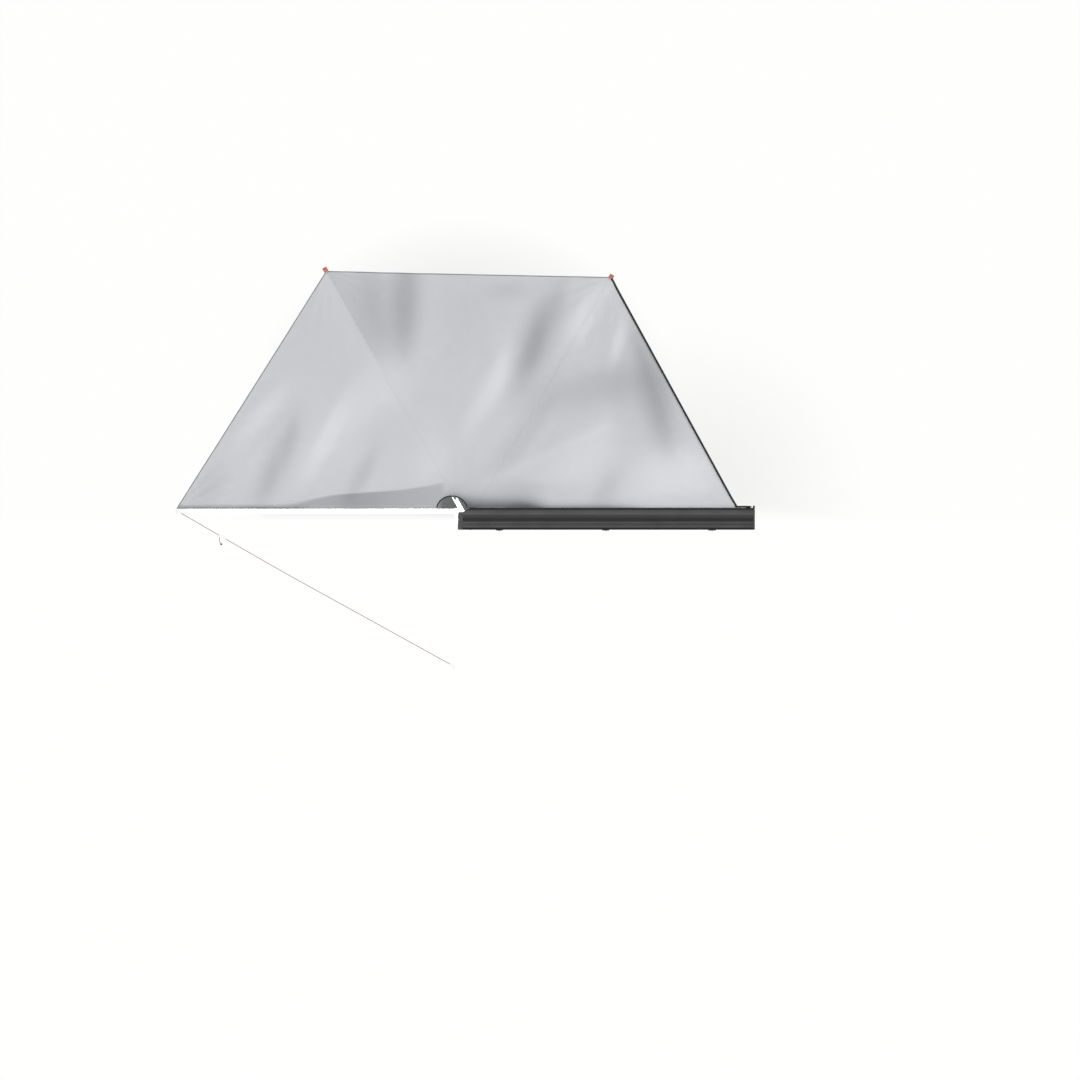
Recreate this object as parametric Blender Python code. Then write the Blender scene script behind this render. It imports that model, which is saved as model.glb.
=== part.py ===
"""Hard-case vehicle side awning, 180 degrees, drawn open.

Metres, +Z up, +X towards the front of the vehicle, +Y away from it. The origin is on the back face of the
middle rack bracket. Every arm is modelled along its own +X from its pivot, and every leg along its own +X
from its leg pin, so one function serves all three.
"""

import math

import bmesh
import bpy
from mathutils import Vector

# Gap between pieces that touch, and running gap of what turns or slides
CLEAR = 0.0003
RUNNING = 0.0006

# How far a cutter reaches past what it cuts
PAST = 0.010

# Rack brackets
BRACKET_XS = {"rear": -0.95, "middle": 0.0, "front": 0.95}
BRACKET_THICK = 0.006
BRACKET_WIDTH = 0.060
BRACKET_BELOW = 0.035
BRACKET_ABOVE = 0.035
BRACKET_CORNER = 0.010
BRACKET_LEDGE = 0.040
BRACKET_SLOT_X = 0.018
BRACKET_SLOT_WIDTH = 0.009
BRACKET_SLOT_LENGTH = 0.026
LEDGE_THICK = 0.005
RIB_THICK = 0.006
RIB_DEPTH = 0.036
RACK_BOLT_RADIUS = 0.0039
RACK_BOLT_SHOWS = 0.012
T_HEAD_LENGTH = 0.021
T_HEAD_PLAY = 0.0008
WASHER_RADIUS = 0.0085
WASHER_THICK = 0.0015
NUT_RADIUS = 0.0072
NUT_HEIGHT = 0.0067

# Swinging arms, which lie side by side when they are stowed
FRONT_PIVOT = (-1.232, 0.085)
ARM_GAP = 0.004
ARM_ANGLES = {"rear": 180.0, "middle": 119.57, "front": 59.55}
ARM_LENGTHS = {"rear": 2.505, "middle": 2.545, "front": 2.545}
ARM_WIDTH = 0.040
ARM_HEIGHT = 0.044
ARM_WALL = 0.0025
ARM_BEVEL = 0.003
ARM_LINE_WIDTH = 0.012
ARM_LINE_DEPTH = 0.0012
ARM_START = 0.030
KNUCKLE_LENGTH = 0.105
KNUCKLE_WALL = 0.004
KNUCKLE_INSET = 0.0005
KNUCKLE_TO_ARM = 0.0022
PIVOT_BOLT_RADIUS = 0.006
BUSH_WALL = 0.0017
BUSH_FLANGE = 0.0115

# Case extrusion
CASE_REAR_X = -1.273
ARM_TO_EDGE = 0.0073
CASE_BOTTOM_Z = 0.040
CASE_HEIGHT = 0.150
WALL = 0.0025
FLOOR_TO_ARM = 0.0555
BACK_CORNER = 0.021
FOOT_CHAMFER = 0.006
TOP_LINES = (
    (0.043, 0.0),
    (0.046, 0.0016),
    (0.061, 0.0024),
    (0.064, 0.0),
    (0.080, 0.0),
    (0.085, 0.0060),
    (0.103, 0.0060),
    (0.105, 0.0046),
    (0.141, 0.0),
)
LIP_CHAMFER = (0.013, 0.004)
HINGE_SHELF = 0.009
T_SLOT_MOUTH = 0.009
T_SLOT_WIDTH = 0.016
T_SLOT_DEPTH = 0.0065
KEDER_DROP = 0.009
KEDER_RADIUS = 0.0026
KEDER_MOUTH = 0.002
KEDER_WALL = 0.0042
LIP_DROP = 0.020
CORNER_CUT = (0.063, 0.0353)
REAR_CAP_LENGTH = 0.044
REAR_CAP_CORNER = 0.008
REAR_CAP_SLOPE = (0.010, 0.015)
FRONT_CAP_LENGTH = 0.013
FRONT_CAP_CORNER = 0.010
COVER_RECESS = 0.009
CAP_WALL = 0.003
CAP_BEVEL = 0.0012
TIP_TO_CAP = 0.0057

# Hub bracket
HUB_PLATE = 0.006
HUB_GAP = 0.0025
HUB_WEB_Y = 0.0205
HUB_WEB_THICK = 0.012
HUB_FLANGE = 0.018
HUB_WEB_BEHIND = 0.055
HUB_WEB_AHEAD = 0.060
HUB_TO_CAP = 0.0035
HUB_BOLT_X = -1.210
HUB_BOLT_RADIUS = 0.004
HUB_BOLT_START = 0.0008
HUB_NUT_START = 0.0012
BOLT_HEAD_HEIGHT = 0.0052
HUB_REACH = {"rear": 0.026, "middle": 0.024, "front": 0.024}
HUB_WINDOW_ROOM = 0.0125
PIVOT_HEAD_RADIUS = 0.0105
PIVOT_HEAD_HEIGHT = 0.0062
PIVOT_NUT_HEIGHT = 0.0082
PIVOT_BOLT_BELOW = 0.010

# Front cover and its hinge
HINGE_OUT = 0.0122
HINGE_UP = 0.006
BARREL_RADIUS = 0.0055
HINGE_ROD_RADIUS = 0.0022
COVER_REAR_X = -1.045
COVER_DEPTH = 0.0178
COVER_BELOW_TOP = 0.0015
COVER_RIBS = (0.34, 0.50, 0.66)
COVER_RIB_DEPTH = 0.001
FIXED_BARREL_LENGTH = 0.040
BARREL_INSET = 0.010
BARREL_GAP = 0.001
BARREL_SWEEP = (0.013, 0.010, 0.009)
LATCH_XS = {"rear": -0.75, "front": 0.85}
LATCH_BELOW_TOP = 0.030
LATCH_SHAFT_RADIUS = 0.005
LATCH_CAM_LENGTH = 0.0145
LATCH_CAM_THICK = 0.005
LATCH_CAM_TO_LIP = 0.0013
LATCH_KNOB_RADIUS = 0.0125
LATCH_KNOB_THICK = 0.0055
LATCH_GRIP = (0.021, 0.006, 0.0135)
SEAL_RADIUS = 0.0035
SEAL_BACK = 0.0045
SEAL_BELOW = 0.0105
SEAL_INSET = 0.004

# Tip fitting and drop-down leg
TIP_LENGTH = 0.1047
TIP_CHEEK = 0.0048
TIP_NOSE = 0.016
TIP_PLUG = 0.040
TIP_EYE_RADIUS = 0.008
TIP_EYE_HOLE = 0.0042
TIP_EYE_THICK = 0.006
TIP_FORK_PAST_PIN = 0.026
TIP_BEVEL = 0.001
LEG_PIN_INSET = 0.055
LEG_PIN_DROP = 0.002
LEG_PIN_RADIUS = 0.004
LEG_OUTER_RADIUS = 0.014
LEG_OUTER_WALL = 0.0015
LEG_OUTER_LENGTH = 1.200
LEG_PLUG_END = 0.035
LEG_SLIDE_GAP = 0.0015
LEG_INNER_WALL = 0.0014
LEG_INNER_START = 0.300
LEG_INNER_SHOWS = 0.060
CLAMP_LENGTH = 0.050
CLAMP_TO_ARM = 0.001
FOOT_LENGTH = 0.050
FOOT_FLARE = 0.0052
CLAMP_NOSE = 0.0145
CLAMP_TAPER = 0.004
CLAMP_LIP = 0.0025
CLAMP_EAR = (0.009, 0.010)
LEVER_LENGTH = 0.056
LEVER_WIDTH = 0.018
LEVER_PIN_RADIUS = 0.0018
LEVER_PIN_BEHIND = 0.0075
LEVER_PIN_BELOW = 0.005
FOOT_PLUG_LENGTH = 0.025
FOOT_NECK_LENGTH = 0.028
FOOT_BEVEL = 0.003

# Canopy, its front edge strap and its cut-out round the hub
CLOTH = 0.002
CANOPY_FROM_TIP = {"rear": 0.0235, "middle": 0.0374, "front": 0.0265}
CANOPY_TO_REAR_ARM = 0.0006
CANOPY_CASE_CORNER_X = 1.166
CUT_OUT_FROM_PIVOT = (-0.0435, 0.009)
CUT_OUT_RADIUS = 0.134
STRAP_WIDTH = 0.025
SAG = 0.022
FOLD_DEPTH = 0.007
RISE_LENGTH = 0.13
CANOPY_ROWS = 20
CANOPY_COLUMNS = 16

# Guy rope
ROPE_RADIUS = 0.0025
ROPE_ROUTE = (
    (-3.8138, 0.1676, 0.0910),
    (-3.4400, -0.0500, 0.0812),
    (-2.8300, -0.3998, 0.0665),
    (-2.1100, -0.7983, 0.0535),
    (-1.3970, -1.1930, 0.0450),
)
TENSIONER_AT = 0.452
TENSIONER_SIZE = (0.062, 0.022, 0.008)
TAIL_ROUTE = (
    (-3.4467, -0.0602, 0.0811),
    (-3.4510, -0.0725, 0.0768),
    (-3.4525, -0.0880, 0.0650),
    (-3.4515, -0.1040, 0.0440),
    (-3.4490, -0.1155, 0.0200),
    (-3.4465, -0.1225, -0.0050),
)
HOOK_WIRE = 0.0026
HOOK_EYE_RADIUS = 0.0072
HOOK_BEND_RADIUS = 0.010
HOOK_SHANK = 0.036

# Strap anchor and arm rest
ANCHOR_THICK = 0.0036
ANCHOR_BEHIND = 0.012
ANCHOR_AHEAD = 0.030
REST_FROM_FRONT = 0.268
REST_LENGTH = 0.035
REST_TO_ARM = 0.0015
REST_FOOT = 0.006
REST_FOOT_HEIGHT = 0.008
REST_CORE = (0.026, 0.012, 0.010)

UP = Vector((0, 0, 1))


def pivot_behind(ahead, angle):
    """The next arm's pivot: one arm further out, and back until its knuckle clears the arm ahead."""
    pitch = ARM_WIDTH + ARM_GAP
    between = ARM_WIDTH - KNUCKLE_INSET + KNUCKLE_TO_ARM
    back = (between - pitch * math.cos(math.radians(angle))) / math.sin(math.radians(angle))
    return ahead[0] - back, ahead[1] + pitch


# Places worked out from the sizes above
MIDDLE_PIVOT = pivot_behind(FRONT_PIVOT, ARM_ANGLES["front"])
PIVOTS = {
    "rear": pivot_behind(MIDDLE_PIVOT, ARM_ANGLES["middle"]),
    "middle": MIDDLE_PIVOT,
    "front": FRONT_PIVOT,
}
CASE_EDGE_Y = PIVOTS["rear"][1] + ARM_WIDTH / 2 + ARM_TO_EDGE
CASE_TOP_Z = CASE_BOTTOM_Z + CASE_HEIGHT
CASE_MID_Z = CASE_BOTTOM_Z + CASE_HEIGHT / 2
CASE_BACK_Y = BRACKET_THICK + CLEAR
CASE_FRONT_X = PIVOTS["front"][0] + ARM_LENGTHS["front"] + TIP_TO_CAP + CAP_WALL - FRONT_CAP_LENGTH - CLEAR
ARM_MID_Z = CASE_BOTTOM_Z + WALL + FLOOR_TO_ARM + ARM_HEIGHT / 2
ARM_TOP_Z = ARM_MID_Z + ARM_HEIGHT / 2
HUB_TOP_Z = ARM_TOP_Z + HUB_GAP + HUB_PLATE
HUB_BOTTOM_Z = ARM_MID_Z - ARM_HEIGHT / 2 - HUB_GAP - HUB_PLATE
HINGE_Y = CASE_EDGE_Y + HINGE_OUT
HINGE_Z = CASE_BOTTOM_Z + HINGE_UP
COVER_FRONT_X = CASE_FRONT_X - 0.0035
KEDER_Z = CASE_TOP_Z - KEDER_DROP
TIP_STARTS = {place: length - TIP_LENGTH for place, length in ARM_LENGTHS.items()}
LEG_PIN_XS = {place: length - LEG_PIN_INSET for place, length in ARM_LENGTHS.items()}
BUSH_OUTER = PIVOT_BOLT_RADIUS + CLEAR + BUSH_WALL
LEG_INNER_RADIUS = LEG_OUTER_RADIUS - LEG_OUTER_WALL - LEG_SLIDE_GAP
CLAMP_RADIUS = ARM_WIDTH / 2 - ARM_WALL - CLAMP_TO_ARM
CANOPY_REACH = {place: ARM_LENGTHS[place] - short for place, short in CANOPY_FROM_TIP.items()}
CUT_OUT_CENTRE = tuple(p + d for p, d in zip(PIVOTS["rear"], CUT_OUT_FROM_PIVOT))
CANOPY_Z = ARM_TOP_Z + 0.0005


def clear_scene():
    for obj in list(bpy.data.objects):
        bpy.data.objects.remove(obj)


def material(name, colour, roughness, metallic=0.0):
    made = bpy.data.materials.new(name)
    made.use_nodes = True
    shader = made.node_tree.nodes["Principled BSDF"]
    shader.inputs["Base Color"].default_value = (*colour, 1.0)
    shader.inputs["Roughness"].default_value = roughness
    shader.inputs["Metallic"].default_value = metallic
    return made


def finished(name, bm, mat, parent):
    """A mesh object of this bmesh, its faces pointing out and its round faces shaded smooth."""
    bmesh.ops.recalc_face_normals(bm, faces=bm.faces)
    mesh = bpy.data.meshes.new(name)
    bm.to_mesh(mesh)
    bm.free()
    mesh.shade_smooth()
    mesh.set_sharp_from_angle(angle=math.radians(35))
    mesh.materials.append(mat)
    obj = bpy.data.objects.new(name, mesh)
    bpy.context.scene.collection.objects.link(obj)
    obj.parent = parent
    return obj


def on_axis(axis, across, along):
    """A point from its two coordinates across an axis and its distance along it."""
    a, b = across
    return {"X": (along, a, b), "Y": (a, along, b), "Z": (a, b, along)}[axis]


def prism(name, outline, low, high, axis, mat, parent=None):
    """An outline extruded from low to high along an axis: (y, z) on X, (x, z) on Y, (x, y) on Z."""
    bm = bmesh.new()
    ring = [bm.verts.new(on_axis(axis, point, low)) for point in outline]
    face = bm.faces.new(ring)
    new = bmesh.ops.extrude_face_region(bm, geom=[face])["geom"]
    top = [v for v in new if isinstance(v, bmesh.types.BMVert)]
    bmesh.ops.translate(bm, verts=top, vec=on_axis(axis, (0, 0), high - low))
    return finished(name, bm, mat, parent)


def block(name, low, high, mat, parent=None):
    corners = [(low[0], low[1]), (high[0], low[1]), (high[0], high[1]), (low[0], high[1])]
    return prism(name, corners, low[2], high[2], "Z", mat, parent)


def turned(name, profile, axis, mat, parent=None, centre=(0, 0, 0), sides=16, hollow=False):
    """A profile of (radius, along) points turned round an axis through the centre."""
    bm = bmesh.new()
    rings = []
    for radius, along in profile:
        count = sides if radius > 0 else 1
        ring = []
        for i in range(count):
            angle = 2 * math.pi * i / sides
            across = (radius * math.cos(angle), radius * math.sin(angle))
            ring.append(bm.verts.new(Vector(on_axis(axis, across, along)) + Vector(centre)))
        rings.append(ring)
    pairs = list(zip(rings, rings[1:]))
    if hollow:
        pairs.append((rings[-1], rings[0]))
    for first, second in pairs:
        for i in range(sides):
            j = (i + 1) % sides
            corners = [first[i % len(first)], first[j % len(first)]]
            corners += [second[j % len(second)], second[i % len(second)]]
            bm.faces.new(dict.fromkeys(corners))
    return finished(name, bm, mat, parent)


def rod(name, radius, low, high, axis, mat, parent=None, centre=(0, 0, 0), sides=16, turn=0.0):
    """A round or many-sided bar with flat ends."""
    across = {"X": centre[1:], "Y": (centre[0], centre[2]), "Z": centre[:2]}[axis]
    angles = [2 * math.pi * i / sides + turn for i in range(sides)]
    ring = [(across[0] + radius * math.cos(a), across[1] + radius * math.sin(a)) for a in angles]
    return prism(name, ring, low, high, axis, mat, parent)


def hexagon(name, radius, low, high, axis, parent, centre):
    return rod(name, radius, low, high, axis, STEEL, parent, centre, 6, math.radians(8))


def sleeve(name, inner, outer, low, high, axis, mat, parent=None, centre=(0, 0, 0), sides=16):
    profile = [(outer, low), (outer, high), (inner, high), (inner, low)]
    return turned(name, profile, axis, mat, parent, centre, sides, True)


def boolean(target, tool, operation):
    modifier = target.modifiers.new(tool.name, "BOOLEAN")
    modifier.operation = operation
    modifier.solver = "EXACT"
    modifier.object = tool
    tool.hide_render = True
    tool.display_type = "WIRE"


def soften(obj, width):
    """A narrow bevel on the sharp edges, before anything is joined or cut."""
    bevel = obj.modifiers.new("edges", "BEVEL")
    bevel.width = width
    bevel.segments = 1
    bevel.limit_method = "ANGLE"
    bevel.angle_limit = math.radians(60)


def join(target, *tools):
    for tool in tools:
        boolean(target, tool, "UNION")
    return target


def cut(target, *tools):
    for tool in tools:
        boolean(target, tool, "DIFFERENCE")
    return target


def arc(centre, radius, start, end, steps):
    """Points of an arc from start to end degrees, both included."""
    angles = [math.radians(start + (end - start) * i / steps) for i in range(steps + 1)]
    return [(centre[0] + radius * math.cos(a), centre[1] + radius * math.sin(a)) for a in angles]


def rounded_box(low, high, radius, steps=3):
    """A rectangle's outline with round corners."""
    points = arc((high[0] - radius, high[1] - radius), radius, 0, 90, steps)
    points += arc((low[0] + radius, high[1] - radius), radius, 90, 180, steps)
    points += arc((low[0] + radius, low[1] + radius), radius, 180, 270, steps)
    points += arc((high[0] - radius, low[1] + radius), radius, 270, 360, steps)
    return points


def slot_outline(centre, width, length, steps=4):
    """An upright slot with round ends."""
    half = length / 2 - width / 2
    top = arc((centre[0], centre[1] + half), width / 2, 0, 180, steps)
    return top + arc((centre[0], centre[1] - half), width / 2, 180, 360, steps)


def axis_empty(name, place, parent=None, turn=(0, 0, 0)):
    """An empty on a joint's axis, which carries the pieces that move on it."""
    empty = bpy.data.objects.new(name, None)
    empty.location = place
    empty.rotation_euler = [math.radians(a) for a in turn]
    empty.empty_display_size = 0.05
    empty.parent = parent
    bpy.context.scene.collection.objects.link(empty)
    return empty


clear_scene()

BLACK_COAT = material("black_powder_coat", (0.012, 0.012, 0.013), 0.45)
BLACK_PLASTIC = material("black_plastic", (0.02, 0.02, 0.022), 0.5)
BLACK_RUBBER = material("black_rubber", (0.015, 0.015, 0.015), 0.8)
SILVER = material("silver_aluminium", (0.80, 0.81, 0.82), 0.32, 1.0)
STEEL = material("zinc_steel", (0.55, 0.55, 0.56), 0.3, 1.0)
BRONZE = material("bronze_bush", (0.45, 0.27, 0.12), 0.35, 1.0)
ORANGE = material("orange_plastic", (0.80, 0.12, 0.03), 0.42)
WHITE_PLASTIC = material("white_plastic", (0.82, 0.82, 0.81), 0.42)
CANVAS = material("light_grey_canvas", (0.60, 0.61, 0.63), 0.75)
WEBBING = material("black_webbing", (0.01, 0.01, 0.01), 0.85)
RED_ROPE = material("red_rope", (0.62, 0.03, 0.02), 0.7)
WHITE_METAL = material("white_metal", (0.85, 0.85, 0.86), 0.25, 1.0)
TIP_LOOKS = {"rear": WHITE_PLASTIC, "middle": ORANGE, "front": ORANGE}


def top_outline():
    """The ridged top of the case from back to outer edge, as (y, z): two flats, a deep groove and a ramp."""
    points = [(y, CASE_TOP_Z - drop) for y, drop in TOP_LINES]
    chamfer_y, chamfer_z = LIP_CHAMFER
    return points + [(CASE_EDGE_Y - chamfer_y, CASE_TOP_Z), (CASE_EDGE_Y, CASE_TOP_Z - chamfer_z)]


def t_slot_outline():
    """The slot in the back wall that takes the T-head bolts, from below to above."""
    mouth, wide = T_SLOT_MOUTH / 2, T_SLOT_WIDTH / 2
    face, back = CASE_BACK_Y + WALL, CASE_BACK_Y + WALL + T_SLOT_DEPTH
    lower = [(CASE_BACK_Y, -mouth), (face, -mouth), (face, -wide), (back, -wide)]
    upper = [(y, -z) for y, z in reversed(lower)]
    return [(y, CASE_MID_Z + z) for y, z in lower + upper]


def keder_outline():
    """The round groove in the outer lip that grips the canopy's edge, from above to below."""
    half = KEDER_MOUTH / 2
    mouth = [(CASE_EDGE_Y, KEDER_Z + half), (CASE_EDGE_Y - 0.0015, KEDER_Z + half)]
    round_part = arc((CASE_EDGE_Y - KEDER_RADIUS - 0.0012, KEDER_Z), KEDER_RADIUS, 50, 310, 6)
    return mouth + round_part + [(y, 2 * KEDER_Z - z) for y, z in reversed(mouth)]


def case_profile():
    """The C section of the case, closed at the back and open on the outer side, as (y, z)."""
    inner_back = CASE_BACK_Y + WALL
    roof = CASE_TOP_Z - max(drop for _, drop in TOP_LINES) - WALL
    bulge = T_SLOT_WIDTH / 2 + WALL
    outer = [(CASE_EDGE_Y, CASE_BOTTOM_Z), (CASE_BACK_Y + FOOT_CHAMFER, CASE_BOTTOM_Z)]
    outer += [(CASE_BACK_Y, CASE_BOTTOM_Z + FOOT_CHAMFER)] + t_slot_outline()
    outer += arc((CASE_BACK_Y + BACK_CORNER, CASE_TOP_Z - BACK_CORNER), BACK_CORNER, 180, 90, 7)
    outer += top_outline() + keder_outline()
    lip_inner = CASE_EDGE_Y - WALL
    keder_back = CASE_EDGE_Y - 2 * KEDER_RADIUS - 0.0028
    chamfer = BACK_CORNER * (1 - math.cos(math.radians(45)))
    inner = [(CASE_EDGE_Y, CASE_TOP_Z - LIP_DROP), (lip_inner, CASE_TOP_Z - LIP_DROP)]
    inner += [(lip_inner, KEDER_Z - KEDER_WALL - 0.0005), (keder_back, KEDER_Z - KEDER_WALL)]
    inner += [(keder_back, roof), (inner_back + chamfer, roof), (inner_back, roof - chamfer)]
    inner += [(inner_back, CASE_MID_Z + bulge), (inner_back + T_SLOT_DEPTH + WALL, CASE_MID_Z + bulge)]
    inner += [(inner_back + T_SLOT_DEPTH + WALL, CASE_MID_Z - bulge), (inner_back, CASE_MID_Z - bulge)]
    inner += [(inner_back, CASE_BOTTOM_Z + 0.008), (CASE_BACK_Y + 0.008, CASE_BOTTOM_Z + WALL)]
    inner += [(lip_inner, CASE_BOTTOM_Z + WALL), (lip_inner, CASE_BOTTOM_Z + HINGE_SHELF)]
    inner += [(CASE_EDGE_Y, CASE_BOTTOM_Z + HINGE_SHELF)]
    return outer + inner


def fixed_barrel_xs():
    """The rear ends of the hinge barrels that belong to the case."""
    last = COVER_FRONT_X - BARREL_INSET - FIXED_BARREL_LENGTH
    first = COVER_REAR_X + BARREL_INSET
    return [first, (first + last) / 2, last]


def make_case():
    case = prism("case_body", case_profile(), CASE_REAR_X, CASE_FRONT_X, "X", BLACK_COAT)
    deep, wide = CORNER_CUT[0], CORNER_CUT[1]
    corner = [(CASE_REAR_X - 0.02, CASE_EDGE_Y - wide - 0.02 * wide / deep)]
    corner += [(CASE_REAR_X + deep + 0.05, CASE_EDGE_Y + 0.05 * wide / deep)]
    corner += [(CASE_REAR_X - 0.02, CASE_EDGE_Y + 0.05 * wide / deep)]
    cut(case, prism("case_corner_cut", corner, CASE_BOTTOM_Z - 0.01, CASE_TOP_Z + 0.01, "Z", BLACK_COAT))
    for i, x in enumerate(fixed_barrel_xs()):
        low = (x, CASE_EDGE_Y - 0.001, CASE_BOTTOM_Z + 0.001)
        high = (x + FIXED_BARREL_LENGTH, HINGE_Y - 0.0040, CASE_BOTTOM_Z + HINGE_UP - 0.0005)
        neck = block(f"case_hinge_neck_{i}", low, high, BLACK_COAT)
        bore = HINGE_ROD_RADIUS + RUNNING
        barrel = sleeve(
            f"case_hinge_barrel_{i}", bore, BARREL_RADIUS, x, x + FIXED_BARREL_LENGTH, "X",
            BLACK_COAT, centre=(0, HINGE_Y, HINGE_Z), sides=12,
        )
        join(case, neck, barrel)
    for i, z in enumerate(hub_bolt_heights()):
        hole = rod(
            f"case_hub_bolt_hole_{i}", HUB_BOLT_RADIUS + RUNNING, -0.01, 0.02, "Y",
            BLACK_COAT, centre=(HUB_BOLT_X, 0, z), sides=12,
        )
        cut(case, hole)
    return case


def make_rear_cap():
    """The rear end cap: back, top, bottom and end wall, with a window for the hub plates."""
    back, out = CASE_BACK_Y, CASE_EDGE_Y - CORNER_CUT[1]
    end = CASE_REAR_X - REAR_CAP_LENGTH
    start = CASE_REAR_X - CLEAR
    corner = REAR_CAP_CORNER
    slope_x, slope_y = REAR_CAP_SLOPE
    outline = [(start, back)] + arc((end + corner, back + corner), corner, 270, 180, 4)
    outline += [(end, out - slope_y), (end + slope_x, out), (start, out)]
    cap = prism("rear_end_cap", outline, CASE_BOTTOM_Z, CASE_TOP_Z, "Z", BLACK_PLASTIC)
    inside = block(
        "rear_cap_hollow", (end + CAP_WALL, back + CAP_WALL, CASE_BOTTOM_Z + CAP_WALL),
        (start + PAST, out + PAST, CASE_TOP_Z - CAP_WALL), BLACK_PLASTIC,
    )
    window = block(
        "rear_cap_window",
        (end - PAST, hub_window_y(), HUB_BOTTOM_Z - PIVOT_BOLT_BELOW - CAP_BEVEL / 2),
        (end + 2 * PAST, out + PAST, HUB_TOP_Z + 2 * PIVOT_HEAD_HEIGHT), BLACK_PLASTIC,
    )
    soften(cap, CAP_BEVEL)
    return cut(cap, inside, window)


def hub_window_y():
    return HUB_WEB_Y + HUB_WEB_THICK + HUB_WINDOW_ROOM


def make_front_cap():
    """The front end cap: a shallow cup that also shields the end of the closed cover."""
    start = CASE_FRONT_X + CLEAR
    end = start + FRONT_CAP_LENGTH
    out = HINGE_Y + COVER_RECESS
    outline = rounded_box((CASE_BACK_Y, CASE_BOTTOM_Z), (out, CASE_TOP_Z), FRONT_CAP_CORNER, 3)
    cap = prism("front_end_cap", outline, start, end, "X", BLACK_PLASTIC)
    hollow = rounded_box(
        (CASE_BACK_Y + CAP_WALL, CASE_BOTTOM_Z + CAP_WALL),
        (CASE_EDGE_Y - CAP_WALL, CASE_TOP_Z - CAP_WALL), 2 * CAP_WALL, 2,
    )
    cut(cap, prism("front_cap_hollow", hollow, start - PAST, end - CAP_WALL, "X", BLACK_PLASTIC))
    recess = block(
        "front_cap_recess", (start - PAST, CASE_EDGE_Y + 3 * CLEAR, CASE_BOTTOM_Z - PAST),
        (end - CAP_WALL - 0.001, out + PAST, CASE_TOP_Z + PAST), BLACK_PLASTIC,
    )
    return cut(cap, recess)


def make_brackets():
    """Plates that bolt to the side of a rack, each held in the case's slot by a T-head bolt."""
    top = CASE_MID_Z + BRACKET_ABOVE
    inside = BRACKET_THICK / 3
    for place, x in BRACKET_XS.items():
        half = BRACKET_WIDTH / 2
        outline = rounded_box((x - half, -BRACKET_BELOW), (x + half, top), BRACKET_CORNER, 3)
        plate = prism(f"{place}_rack_bracket", outline, 0.0, BRACKET_THICK, "Y", BLACK_COAT)
        ledge_top = CASE_BOTTOM_Z - CLEAR
        ledge_end = CASE_BACK_Y + BRACKET_LEDGE
        ledge = [(inside, ledge_top), (ledge_end - 0.003, ledge_top), (ledge_end, ledge_top - 0.003)]
        ledge += [(ledge_end, ledge_top - LEDGE_THICK), (inside, ledge_top - LEDGE_THICK)]
        shelf = prism(f"{place}_bracket_ledge", ledge, x - half, x + half, "X", BLACK_COAT)
        rib_end, rib_half = ledge_end - RIB_THICK, RIB_THICK / 2
        rib = [(inside, ledge_top - 0.001), (rib_end, ledge_top - 0.001)]
        rib += [(rib_end, ledge_top - LEDGE_THICK - 0.003), (inside, ledge_top - RIB_DEPTH)]
        gusset = prism(f"{place}_bracket_rib", rib, x - rib_half, x + rib_half, "X", BLACK_COAT)
        join(plate, shelf, gusset)
        for side in (-1, 1):
            at = (x + side * BRACKET_SLOT_X, 0.0)
            slot = slot_outline(at, BRACKET_SLOT_WIDTH, BRACKET_SLOT_LENGTH)
            cut(plate, prism(f"{place}_bracket_slot_{side}", slot, -PAST, 2 * PAST, "Y", BLACK_COAT))
        hole = rod(
            f"{place}_bracket_hole", RACK_BOLT_RADIUS + RUNNING, -PAST, 2 * PAST, "Y",
            BLACK_COAT, centre=(x, 0, CASE_MID_Z), sides=12,
        )
        cut(plate, hole)
        make_rack_bolt(place, x)


def make_rack_bolt(place, x):
    head_y = CASE_BACK_Y + WALL + CLEAR
    half, long_half = T_SLOT_WIDTH / 2 - T_HEAD_PLAY, T_HEAD_LENGTH / 2
    bolt = block(
        f"{place}_rack_bolt", (x - long_half, head_y, CASE_MID_Z - half),
        (x + long_half, head_y + T_SLOT_DEPTH - 2 * CLEAR, CASE_MID_Z + half), STEEL,
    )
    centre = (x, 0, CASE_MID_Z)
    shank = rod(f"{place}_rack_bolt_shank", RACK_BOLT_RADIUS, -RACK_BOLT_SHOWS, head_y + 0.002, "Y",
                STEEL, centre=centre, sides=12)
    washer_face = -CLEAR - WASHER_THICK
    washer = rod(f"{place}_rack_bolt_washer", WASHER_RADIUS, washer_face, -CLEAR, "Y", STEEL,
                 centre=centre, turn=math.radians(4))
    nut = hexagon(f"{place}_rack_bolt_nut", NUT_RADIUS, washer_face - NUT_HEIGHT, washer_face / 2, "Y",
                  None, centre)
    join(bolt, shank, washer, nut)


def hub_bolt_heights():
    """The lower and the upper bolt, outside the two plates."""
    return HUB_BOTTOM_Z - HUB_FLANGE / 2, HUB_TOP_Z + HUB_FLANGE / 2


def hub_outline():
    """The hub plate: straight along the case's back, and round each pivot."""
    rear, middle, front = (PIVOTS[k] for k in ("rear", "middle", "front"))
    inner_x = CASE_REAR_X - REAR_CAP_LENGTH + CAP_WALL + HUB_TO_CAP
    ahead = HUB_BOLT_X + HUB_WEB_AHEAD
    window = hub_window_y()
    points = [(ahead, HUB_WEB_Y), (inner_x, HUB_WEB_Y), (inner_x, window + 0.004)]
    points += [(inner_x - 0.0080, window + 0.010)]
    points += arc(rear, HUB_REACH["rear"], 195, 40, 7)
    points += arc(middle, HUB_REACH["middle"], 60, 15, 2)
    points += arc(front, HUB_REACH["front"], 30, -15, 2)
    points += [(ahead - 0.030, HUB_WEB_Y + 0.0295), (ahead, HUB_WEB_Y + 0.0225)]
    return points


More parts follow.
